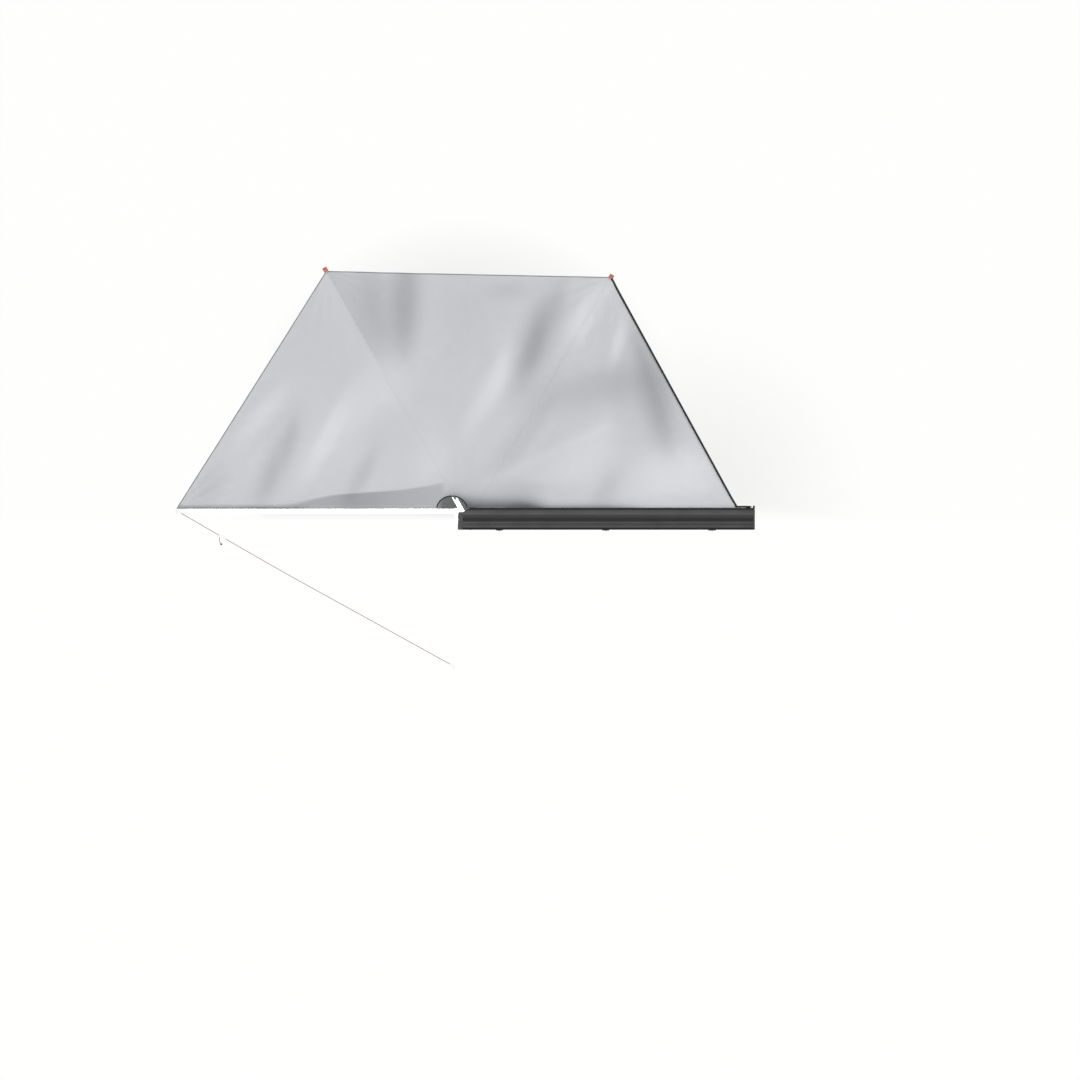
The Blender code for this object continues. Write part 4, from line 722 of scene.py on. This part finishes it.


# The canopy's surface

# Soft dips and swells of the stretched cloth, read from the photograph: place, the angle of
# the long axis, half length, half width, and depth, below zero where the cloth falls away from
# the light
# Each swell also paints light or shade into the cloth's colour, by its depth
SWELLS = (
    (-0.63, 1.68, 71, 0.46, 0.17, -33),
    (-0.60, 1.70, 80, 0.70, 0.34, -5),
    (-1.78, 2.06, 90, 0.60, 0.16, -29),
    (-2.04, 2.02, 104, 0.46, 0.24, -18),
    (0.43, 1.24, 104, 0.56, 0.16, -39),
    (0.18, 1.22, 98, 0.42, 0.20, -10),
    (0.27, 1.70, 104, 0.22, 0.10, -9),
    (-0.12, 1.27, 12, 0.62, 0.24, -13),
    (-0.60, 1.12, 60, 0.30, 0.14, -5),
    (-0.84, 0.72, 50, 0.44, 0.13, -9),
    (-0.80, 0.37, 0, 0.26, 0.10, -9),
    (0.00, 0.34, 60, 0.26, 0.13, -11),
    (-2.95, 0.56, 66, 0.44, 0.14, -20),
    (-2.80, 0.86, 80, 0.26, 0.08, -8),
    (-2.17, 0.50, 62, 0.32, 0.10, -15),
    (-3.55, 0.36, 60, 0.26, 0.16, -9),
    (-0.88, 2.14, 0, 0.22, 0.12, -8),
    (-0.42, 2.04, 80, 0.22, 0.09, -9),
    (-1.25, 1.75, 90, 0.50, 0.34, -6),
    (-1.02, 1.26, 60, 0.52, 0.12, 13),
    (-0.92, 1.44, 82, 0.30, 0.08, 7),
    (-0.20, 1.88, 66, 0.30, 0.12, 18),
    (0.00, 2.15, 45, 0.16, 0.08, 9),
    (0.11, 1.68, 75, 0.24, 0.07, 16),
    (-2.20, 1.12, 50, 0.62, 0.24, 11),
    (-2.52, 0.76, 63, 0.46, 0.10, 13),
    (-1.82, 1.30, 70, 0.34, 0.18, 6),
    (-3.07, 1.02, 50, 0.38, 0.12, 12),
    (-1.55, 0.64, 90, 0.34, 0.20, 7),
    (-0.20, 0.66, 40, 0.50, 0.26, 9),
    (0.74, 0.50, 0, 0.50, 0.32, 12),
    (0.52, 0.50, 30, 0.50, 0.28, 6),
    (-0.50, 0.36, 0, 0.32, 0.12, -6),
)
# How much one step of depth tilts the cloth, and how much painted light or shade it adds to its
# colour
TILT_OF_DEPTH = 0.0085
PAINTED_TONE_OF_DEPTH = 0.82
# Painted tones of the cloth as seen on a screen, from 0 to 255
CLOTH_TONE = 203.0
DARKEST_TONE = 60.0
LIGHTEST_TONE = 217.0
# The linear light of cloth with no painted shade, and how much of it full painted shade takes away
LIGHTEST = 0.687
PAINTED_SHADE_SPAN = 0.596
# How far free cloth sags, and the height under the case's roof that it nears but never passes
SAG = 0.034
TOP_LIMIT = 0.1825
TOP_SOFTNESS = 0.0025
# The height of the rear fold, of the roll along the case's lip, of the puckers that run out from
# the corners, and of the small creases
FOLD_HEIGHT = 0.040
ROLL_HEIGHT = 0.014
PUCKER = 0.0022
SMALL_CREASE = 0.0007

CASE_CORNER = np.array((CASE_CORNER_X, LIP_Y))
FRONT_CORNER = arm_point("front", REACH["front"])
MIDDLE_CORNER = arm_point("middle", REACH["middle"])
REAR_CORNER = np.array((PIVOTS["rear"][0] - REACH["rear"], REAR_EDGE_Y))
# Each corner, and by how many degrees its puckers are turned
PUCKERED = (
    (MIDDLE_CORNER, 300.0),
    (FRONT_CORNER, 240.0),
    (CASE_CORNER, 140.0),
    (REAR_CORNER, 30.0),
)
# The ridge of the rear fold as seen from above, and its smoothed line
RIDGE = np.array((
    (-3.809, 0.1940),
    (-2.900, 0.2220),
    (-2.720, 0.2560),
    (-2.500, 0.3000),
    (-2.390, 0.3180),
    (-2.170, 0.3340),
    (-1.830, 0.3580),
    (-1.610, 0.3900),
    (-1.430, 0.4280),
))
RIDGE_X = np.linspace(-4.2, -1.0, 641)
RIDGE_Y = np.convolve(np.interp(RIDGE_X, *RIDGE.T), np.ones(21) / 21, mode="same")
CREASE = ((-1.078, 0.430), (0.043, 0.933))


def resting(x, y):
    """Height of the taut cloth where it lies on the arms and runs up into the case's groove."""
    rise = LIP_Z - ARM_TOP - OVER_ARM
    near = (1 - np.clip((y - LIP_Y) / 0.80, 0.0, 1.0)) ** 3
    return ARM_TOP + OVER_ARM + rise * near * ramp(x, -1.62, 0.36)


def rear_fold(x, y):
    """The fold from the rear corner to above the hub: its height, and how far a place is inside
    its shaded side."""
    part = np.clip((x - RIDGE[0, 0]) / (RIDGE[-1, 0] - RIDGE[0, 0]), 0.0, 1.0)
    ridge = np.interp(x, RIDGE_X, RIDGE_Y)
    height = FOLD_HEIGHT * smooth(part * 1.1) * (1 - ramp(x, -1.50, 0.45))
    below = np.clip((y - REAR_EDGE_Y) / np.maximum(ridge - REAR_EDGE_Y, 1e-3), 0.0, 1.0)
    above = np.exp(-((np.maximum(y - ridge, 0.0) / 0.34) ** 1.8))
    soft = 0.024 + 0.05 * (1 - ramp(x, -2.85, 0.3))
    inside = smooth((ridge - y + 0.012) / soft)
    inside = inside * (1 - ramp(x, -1.48, 0.07)) * ramp(x, -2.95, 0.25)
    return height * np.where(y < ridge, below, above), inside


def slack(x, y):
    """How free the cloth is to sag, and how free to wrinkle, from 0 on what holds it to 1."""
    held = (
        distance_to(x, y, PIVOTS["middle"], MIDDLE_CORNER),
        distance_to(x, y, PIVOTS["front"], FRONT_CORNER),
        distance_to(x, y, REAR_CORNER, (PIVOTS["rear"][0], REAR_EDGE_Y)),
        distance_to(x, y, FRONT_CORNER, CASE_CORNER),
        np.maximum(y - LIP_Y, 0.0),
    )
    hems = (
        distance_to(x, y, MIDDLE_CORNER, FRONT_CORNER),
        distance_to(x, y, MIDDLE_CORNER, REAR_CORNER),
    )
    free = np.prod([smooth(away / 0.62) for away in held], axis=0)
    free = free * np.prod([0.35 + 0.65 * smooth(away / 0.5) for away in hems], axis=0)
    loose = np.prod([smooth(away / 0.15) for away in held], axis=0)
    return free, loose


def shade_tone(x, y, cut, inside):
    """Light and shade painted into the cloth's colour that the swells don't give: at the fold, the
    hem, the lip, the rim and the seams.
    """
    # Painted shade on the shaded side of the rear fold
    painted_fold_shade = 5 + 17 * ramp(x, -2.95, 0.3) + 14 * bell((x + 2.2) / 0.25)
    tone = -painted_fold_shade * inside
    # The rear hem: painted shade toward the tip, and a painted highlight along its turned edge
    # nearer the hub
    hem = np.maximum(y - REAR_EDGE_Y, 0.0)
    tone = tone - 33 * np.exp(-((hem / 0.033) ** 4)) * (1 - ramp(x, -2.78, 0.2))
    tone = tone + 44 * bell(hem / 0.010) * ramp(x, -2.95, 0.3)
    # Painted shade in the hollow beside the case's lip, deepest next to the hub
    up = np.maximum(y - LIP_Y, 0.0)
    deep = ramp(x, -1.46, 0.14) * (1 - ramp(x, -0.80, 0.34))
    tone = tone - 112 * deep * np.exp(-((up / 0.076) ** 1.4))
    ends = ramp(x, -0.95, 0.3)
    tone = tone - (60 - 38 * ramp(x, 0.0, 0.5)) * ends * np.exp(-((up / 0.026) ** 1.2))
    tone = tone - 16 * ends * (1 - ramp(x, 0.0, 0.4)) * np.exp(-up / 0.06)
    # Painted shade round the rim of the cut-out
    rim = np.maximum(cut, 0)
    tone = tone - (30 * np.exp(-rim / 0.030) + 12 * np.exp(-rim / 0.10)) * (1 - inside)
    # The outer part of the middle arm: painted light on its left, painted shade on its right
    along, left = along_and_left(x, y, PIVOTS["middle"], direction(ANGLES["middle"]))
    beside = np.where(left > 0, 3.0 * bell(left / 0.20), -9.0 * bell(left / 0.26))
    tone = tone + ramp(along, 1.35, 0.45) * beside
    # A painted light line along the crease toward the front arm
    return tone + 4.0 * bell(distance_to(x, y, *CREASE) / 0.045)


def canopy_surface(x, y):
    """Height of the cloth at these places, and how much shade is painted into its colour there,
    from 0 to 1.
    """
    free, loose = slack(x, y)
    cut = np.hypot(x - CUT_CENTRE[0], (y - CUT_CENTRE[1]) / CUT_FLAT) - CUT_RADIUS
    free, loose = free * smooth(cut / 0.30), loose * smooth(cut / 0.14)
    z = resting(x, y) - SAG * free
    tone = np.zeros_like(z)
    for sx, sy, degrees, half_long, half_wide, depth in SWELLS:
        along, left = along_and_left(x, y, (sx, sy), direction(degrees))
        hump = np.exp(-1.4 * ((along / half_long) ** 2 + (left / half_wide) ** 2) ** 1.25)
        z = z - depth * TILT_OF_DEPTH * left * hump * loose
        tone += depth * PAINTED_TONE_OF_DEPTH * hump
    fold, inside = rear_fold(x, y)
    z = z + fold
    for corner, turn in PUCKERED:
        radius = np.hypot(x - corner[0], y - corner[1])
        angle = np.arctan2(y - corner[1], x - corner[0])
        pull = np.exp(-((radius / 0.55) ** 2)) * smooth(radius / 0.10) * PUCKER
        z = z + pull * np.sin(angle * 23.0 + math.radians(turn)) * loose
    roll = ROLL_HEIGHT * bell((y - LIP_Y - 0.080) / 0.055)
    z = z + roll * ramp(x, -1.42, 0.16) * smooth((-0.30 - x) / 0.5) * smooth(cut / 0.05)
    along_x = np.sin(17.0 * x + 5.0 * np.sin(4.0 * y))
    z = z + SMALL_CREASE * along_x * np.sin(13.0 * y + 4.0 * np.sin(5.0 * x)) * loose
    over = np.maximum(z - TOP_LIMIT + TOP_SOFTNESS, 0)
    z = np.where(over > 0, TOP_LIMIT - TOP_SOFTNESS * np.exp(-over / TOP_SOFTNESS), z)
    # The painted light and shade as a screen tone, then as how far the colour goes toward its
    # painted shade
    tone = CLOTH_TONE + tone + shade_tone(x, y, cut, inside)
    light = ((np.clip(tone, DARKEST_TONE, LIGHTEST_TONE) / 255 + 0.055) / 1.055) ** 2.4
    return z, np.clip((LIGHTEST - light) / PAINTED_SHADE_SPAN, 0.0, 1.0)


# The canopy's outlines


def on_cut_out(degrees):
    return np.array(CUT_CENTRE) + CUT_RADIUS * direction(degrees) * (1, CUT_FLAT)


def seam_on_cut_out():
    """The angle at which the middle arm's line leaves the cut-out."""
    ahead = unit(direction(ANGLES["middle"]) / (1, CUT_FLAT))
    offset = (np.array(PIVOTS["middle"]) - np.array(CUT_CENTRE)) / (1, CUT_FLAT)
    near = offset @ ahead
    reach = -near + math.sqrt(near * near - offset @ offset + CUT_RADIUS**2)
    place = offset + ahead * reach
    return math.degrees(math.atan2(place[1], place[0]))


def angle_at_height(y):
    """The angle at which the cut-out's right side has this y."""
    return math.degrees(math.asin((y - CUT_CENTRE[1]) / CUT_RADIUS / CUT_FLAT))


def between(start, end):
    start, end = np.array(start), np.array(end)
    return lambda v: start + (end - start) * v


# Angles on the cut-out: at the case's lip, at the middle arm's seam and at the rear edge
LOW_DEGREES = angle_at_height(LIP_Y)
SEAM_DEGREES = seam_on_cut_out()
HIGH_DEGREES = 180 - angle_at_height(REAR_EDGE_Y)
# Where the front arm's line meets the case's lip
FRONT_START = (LIP_Y - PIVOTS["front"][1]) / math.sin(math.radians(ANGLES["front"]))
APEX = arm_point("front", FRONT_START)
# The part of the middle panel's inner edge that runs along the lip to the cut-out
LIP_PART = 0.25


def panel_edges():
    """Inner and outer edge of each panel, as functions of 0 to 1 across it."""
    inward = left_of(unit(FRONT_CORNER - CASE_CORNER))
    hem = STRAP_WIDTH / 2 + STRAP_INWARD + 0.0006
    hem_x = hem / abs(inward[0])
    hem_along = hem / abs(inward @ direction(ANGLES["front"]))
    front = (
        between((APEX[0] + 0.0016, LIP_Y), arm_point("front", FRONT_START + 0.002, -SEAM)),
        between(CASE_CORNER - (hem_x, 0), arm_point("front", REACH["front"] - hem_along, -SEAM)),
    )
    start, bend = arm_point("front", FRONT_START, SEAM), on_cut_out(LOW_DEGREES)

    def middle_inner(v):
        if v < LIP_PART:
            return start + (bend - start) * v / LIP_PART
        turned = (SEAM_DEGREES - LOW_DEGREES) * (v - LIP_PART) / (1 - LIP_PART)
        return on_cut_out(LOW_DEGREES + turned)

    middle_outer = between(arm_point("front", REACH["front"], SEAM), MIDDLE_CORNER + (SEAM, 0))
    first = SEAM_DEGREES + math.degrees(2 * SEAM / CUT_RADIUS)

    def rear_inner(v):
        return on_cut_out(first + (HIGH_DEGREES - first) * v)

    rear = (rear_inner, between(MIDDLE_CORNER - (SEAM, 0), REAR_CORNER))
    return {"front": front, "middle": (middle_inner, middle_outer), "rear": rear}


# The canopy

PANEL_ROWS = 150
PANEL_COLUMNS = 110
BODY_OF_PANEL = {"front": "case", "middle": "middle_swing", "rear": "rear_swing"}
# Tapes lie this far above the cloth. Then where the middle of each tape or row of stitches runs
TAPE_LIFT = 0.0003
EDGE_INSET = 0.0040
BINDING_OUT = 0.0060
HEM_LINE_Y = REAR_EDGE_Y + 0.024
WELT_Y = LIP_Y + 0.0105
SEAM_ROW = 0.0075


def drop_at_rear_arm(y):
    """Along the rear arm the hem turns down beside the arm's outer face."""
    return 0.009 * (1 - ramp(y, REAR_EDGE_Y, 0.014))


def make_panel(place, inner, outer):
    """One panel of the canopy as a closed thin sheet, with its flat size and area."""
    across = np.linspace(0, 1, PANEL_COLUMNS + 1)
    inside = np.array([inner(v) for v in across])
    outside = np.array([outer(v) for v in across])
    u = np.linspace(0, 1, PANEL_ROWS + 1)[:, None, None]
    flat = inside[None] + (outside - inside)[None] * u
    x, y = flat[..., 0], flat[..., 1]
    z, shade = canopy_surface(x, y)
    if place == "rear":
        z = z - drop_at_rear_arm(y)
    top = np.stack([x, y, z + CLOTH], axis=-1).reshape(-1, 3)
    bottom = np.stack([x, y, z], axis=-1).reshape(-1, 3)
    faces = sheet_faces(PANEL_ROWS, PANEL_COLUMNS)
    mesh = mesh_of(f"{place}_canopy", np.concatenate([top, bottom]), faces)
    shade_mesh(mesh, np.tile(shade.reshape(-1), 2))
    obj = new_object(f"{place}_canopy", mesh, CANVAS, BODY_OF_PANEL[place])
    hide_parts(f"canopy_{place}")
    size = flat.reshape(-1, 2).max(0) - flat.reshape(-1, 2).min(0)
    xs, ys = np.array([inside[0], outside[0], outside[-1], *inside[::-1]]).T
    area = 0.5 * abs(np.dot(xs, np.roll(ys, 1)) - np.dot(ys, np.roll(xs, 1)))
    return obj, size, area


def line_between(start, end, pieces):
    start, end = np.array(start), np.array(end)
    return [start + (end - start) * i / pieces for i in range(pieces + 1)]


def on_cloth(points, lift=CLOTH):
    """A line of places laid on top of the cloth."""
    points = np.array(points, float)
    z, _ = canopy_surface(points[:, 0], points[:, 1])
    return np.column_stack([points, z + lift])


def cloth_tape(name, line, width, thick, body, look=SEAM_TAPE):
    """A tape that lies on the canopy. One of the canopy's own cloth takes the cloth's painted light
    and shade.
    """
    tape = strip(name, line, width, thick, look, body, TAPE_LIFT)
    if look is SEAM_TAPE:
        spots = np.empty(len(tape.data.vertices) * 3)
        tape.data.vertices.foreach_get("co", spots)
        spots = spots.reshape(-1, 3)
        shade_mesh(tape.data, canopy_surface(spots[:, 0], spots[:, 1])[1])
    return tape


def stitches(name, line, body, lift=0.0):
    """A row of thread stitches along a line: small lens-shaped pieces on what they sew."""
    spacing, length, width = 0.0045, 0.0032, 0.0007
    travelled = lengths_along(line)
    up = np.array((0, 0, 1.0))
    points, faces = [], []
    for begin in np.arange(0.0, travelled[-1] - length, spacing):
        a, middle, b = (
            np.array([np.interp(at, travelled, line[:, k]) for k in range(3)])
            for at in (begin, begin + length / 2, begin + length)
        )
        side = np.cross((0, 0, 1.0), unit(b - a)) * width / 2
        first = len(points)
        raised = middle + up * (lift + width * 0.7)
        left, right = (raised + way - up * width * 0.4 for way in (side, -side))
        points += [a + up * lift, left, b + up * lift, right]
        points += [raised, middle + up * (lift - width * 0.3)]
        for i, j in ((0, 1), (1, 2), (2, 3), (3, 0)):
            faces += [(first + i, first + 4, first + j), (first + j, first + 5, first + i)]
    return new_object(name, mesh_of(name, points, faces), THREAD, body)


def edge_tapes(place, outer):
    """The tape and stitches on a panel's outer edge, and the binding on its part of the cut-out."""
    body = BODY_OF_PANEL[place]
    start, end = np.array(outer(0.0)), np.array(outer(1.0))
    ahead = unit(end - start)
    inward = left_of(ahead) * EDGE_INSET
    line = line_between(start + inward + ahead * 0.004, end + inward - ahead * 0.012, 120)
    line = on_cloth(line)
    sewn = on_cloth([spot[:2] + inward * 1.6 for spot in line], CLOTH + TAPE_LIFT)
    if place == "middle":
        first, last = LOW_DEGREES + 1.5, SEAM_DEGREES - 0.6
    else:
        first, last = SEAM_DEGREES + 0.6, HIGH_DEGREES - 4.0
    turns = np.linspace(first, last, 40)
    ring = on_cloth([on_cut_out(angle) + BINDING_OUT * direction(angle) for angle in turns])
    binding = f"{place}_cut_out_binding"
    return [
        cloth_tape(f"{place}_edge_tape", line, 0.0078, 0.0009, body, GREY_TAPE),
        stitches(f"{place}_edge_stitches", sewn, body),
        cloth_tape(binding, ring, 0.0115, 0.0012, body, BLACK_TAPE),
    ]


def rear_hem():
    """The hem's fold along the rear arm, with its stitches."""
    start = (CUT_CENTRE[0] - CUT_RADIUS - 0.030, HEM_LINE_Y)
    line = on_cloth(line_between(start, (REAR_CORNER[0] + 0.060, HEM_LINE_Y), 160))
    return [
        cloth_tape("rear_hem_fold", line, 0.018, 0.0008, BODY_OF_PANEL["rear"]),
        stitches("rear_hem_stitches", line, BODY_OF_PANEL["rear"], lift=0.0011),
    ]


def lip_welt(place, start, end):
    """The welt that holds a panel in the case's groove, between two places along the lip."""
    line = on_cloth(line_between((start, WELT_Y), (end, WELT_Y), 90))
    return [cloth_tape(f"{place}_lip_welt", line, 0.0060, 0.0022, BODY_OF_PANEL[place])]


def make_canopy():
    """The three panels, and the tapes that bind their edges, each on its panel's body."""
    for place, (inner, outer) in panel_edges().items():
        panel, size, area = make_panel(place, inner, outer)
        if place == "front":
            tapes = lip_welt(place, APEX[0] + 0.030, CASE_CORNER[0] - 0.030)
        elif place == "middle":
            past_cut_out = on_cut_out(LOW_DEGREES + 12)[0] + 0.02
            tapes = edge_tapes(place, outer) + lip_welt(place, past_cut_out, APEX[0] - 0.004)
        else:
            tapes = edge_tapes(place, outer) + rear_hem()
        for piece in (*tapes, panel):
            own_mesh(piece)


def make_seams():
    """Flat-felled seams over the middle and front arm, which stay on their arms."""
    for place, start in (("middle", 0.170), ("front", FRONT_START + 0.030)):
        body = f"{place}_swing"
        ends = arm_point(place, start), arm_point(place, REACH[place] - 0.030)
        line = on_cloth(line_between(*ends, 140))
        cloth_tape(f"{place}_seam", line, 0.022, 0.0004, body)
        for name, way in (("right", -SEAM_ROW), ("left", SEAM_ROW)):
            across = left_of(direction(ANGLES[place])) * way
            sewn = on_cloth([spot[:2] + across for spot in line], CLOTH + 2 * TAPE_LIFT)
            stitches(f"{place}_seam_stitches_{name}", sewn, body)


# Strap and cords


def make_edge_strap():
    """Webbing along the canopy's front edge, from the eye on the case to the front arm's tip."""
    ahead = unit(FRONT_CORNER - CASE_CORNER)
    start, end = CASE_CORNER + ahead * 0.0114, FRONT_CORNER - ahead * 0.014
    inward = left_of(ahead) * STRAP_INWARD
    high, low = STRAP_HEIGHTS
    line = []
    for t in np.arange(121) / 120:
        place = start + (end - start) * t + inward * smooth(t * 20) * smooth((1 - t) * 20)
        line.append((*place, high + (low - high) * t - STRAP_SAG * math.sin(math.pi * t)))
    strap = strip("edge_strap", line, STRAP_WIDTH, 0.0018, BLACK_TAPE, "case")
    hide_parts("front_edge_strap")
    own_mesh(strap)


def make_cords():
    """The taut guy rope with its loop, tensioner and hook, and the short tail with its knot."""
    start, end = Vector(ROPE_ROUTE[0]), Vector(ROPE_ROUTE[-1])
    ahead = (end - start).normalized()
    path, length = smooth_route(ROPE_ROUTE, 420)
    rope = tube("guy_line", path, ROPE_RADIUS, ROPE)
    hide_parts("guy_rope")
    fittings = []
    for node, look, slot in (
        ("rope_tensioner", WHITE_PLASTIC, "white_plastic"),
        ("rope_hook", WHITE_METAL, "white_metal"),
    ):
        mesh = NODES[node].data.copy()
        mesh.materials.clear()
        piece = new_object(f"{node}_on_rope", mesh, look, "rear_swing")
        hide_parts(node)
        fittings.append(piece)
    fittings.append(knot("guy_line_knot", start + ahead * 0.010, ahead, 0.0155, LOOP_RADIUS, ROPE))
    loop, _ = smooth_route([start + Vector(step) for step in LOOP_STEPS], 40)
    fittings.append(tube("guy_line_loop", loop, LOOP_RADIUS, ROPE, 10))

    path, length = smooth_route(TAIL_ROUTE, 60)
    tail = tube("guy_line_tail", path, ROPE_RADIUS, ROPE)
    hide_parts("rope_tail")
    end, before = Vector(TAIL_ROUTE[-1]), Vector(TAIL_ROUTE[-2])
    down = (end - before).normalized()
    stopper = knot(
        "guy_line_tail_knot", end + down * 0.002, down, 0.0185, TAIL_KNOT_RADIUS, DARK_ROPE
    )
    for piece in (rope, *fittings, tail, stopper):
        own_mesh(piece)


# Stage

LENS = 74.9
EYE = (-0.587, -0.085, 20.15)
FLOOR_REACH = 60.0
# The sun's and the sky's brightness and tint, the azimuth and elevation that the sun stands at and
# that the sky is brightest toward, the sun's width in degrees, and how uneven the sky is
SUN = 1.50
SUN_TINT = (1.0, 0.985, 0.965)
SUN_FROM = (100, 80)
SUN_WIDTH = 9
SKY = 0.36
SKY_TINT = (0.97, 0.985, 1.0)
SKY_FROM = (135, 22)
SKY_SLOPE = 0.9


def towards(azimuth, elevation):
    """The direction to a light."""
    flat, up = math.cos(math.radians(elevation)), math.sin(math.radians(elevation))
    return Vector((*(direction(azimuth) * flat), up))


def make_sky():
    """A soft sky, brighter toward the upper left, that shows as a plain near-white."""
    world = bpy.data.worlds.new("studio")
    world.use_nodes = True
    sky = Nodes(world.node_tree)
    place = sky.node("TexCoord", out="Generated")
    brightest = towards(*SKY_FROM)
    side = sky.node("VectorMath", place, brightest, operation="DOT_PRODUCT", out="Value")
    light = sky.span(side, -1.0, 1.0, SKY * (1 - SKY_SLOPE), SKY * (1 + SKY_SLOPE))
    rays = sky.tree.nodes.new("ShaderNodeLightPath").outputs
    seen = sky.math("MAXIMUM", rays["Is Camera Ray"], rays["Is Glossy Ray"])
    background = sky.tree.nodes["Background"].inputs
    sky.feed(background["Color"], SKY_TINT)
    sky.feed(background["Strength"], sky.span(seen, 0.0, 1.0, light, 1.0))
    bpy.context.scene.world = world


def make_stage():
    """The photograph's view from straight above, a pale floor, a high sun and a soft sky."""
    camera = bpy.data.cameras.new("camera")
    camera.lens = LENS
    camera.sensor_width = 36.0
    camera.clip_end = 200.0
    holder = add_to_scene("camera", camera)
    holder.location = EYE
    bpy.context.scene.camera = holder

    mesh = bpy.data.meshes.new("floor")
    ways = ((-1, -1), (1, -1), (1, 1), (-1, 1))
    corners = [(FLOOR_REACH * x, FLOOR_REACH * y, FLOOR_Z) for x, y in ways]
    mesh.from_pydata(corners, [], [(0, 1, 2, 3)])
    mesh.materials.append(floor_look())
    add_to_scene("floor", mesh)

    sun = bpy.data.lights.new("key", "SUN")
    sun.energy = SUN
    sun.angle = math.radians(SUN_WIDTH)
    sun.color = SUN_TINT
    key = add_to_scene("key", sun)
    key.rotation_euler = towards(*SUN_FROM).to_track_quat("Z", "Y").to_euler()

    make_sky()
    bpy.context.scene.view_settings.view_transform = "Standard"


make_stage()
dress_nodes()
make_cords()
make_canopy()
make_seams()
make_edge_strap()
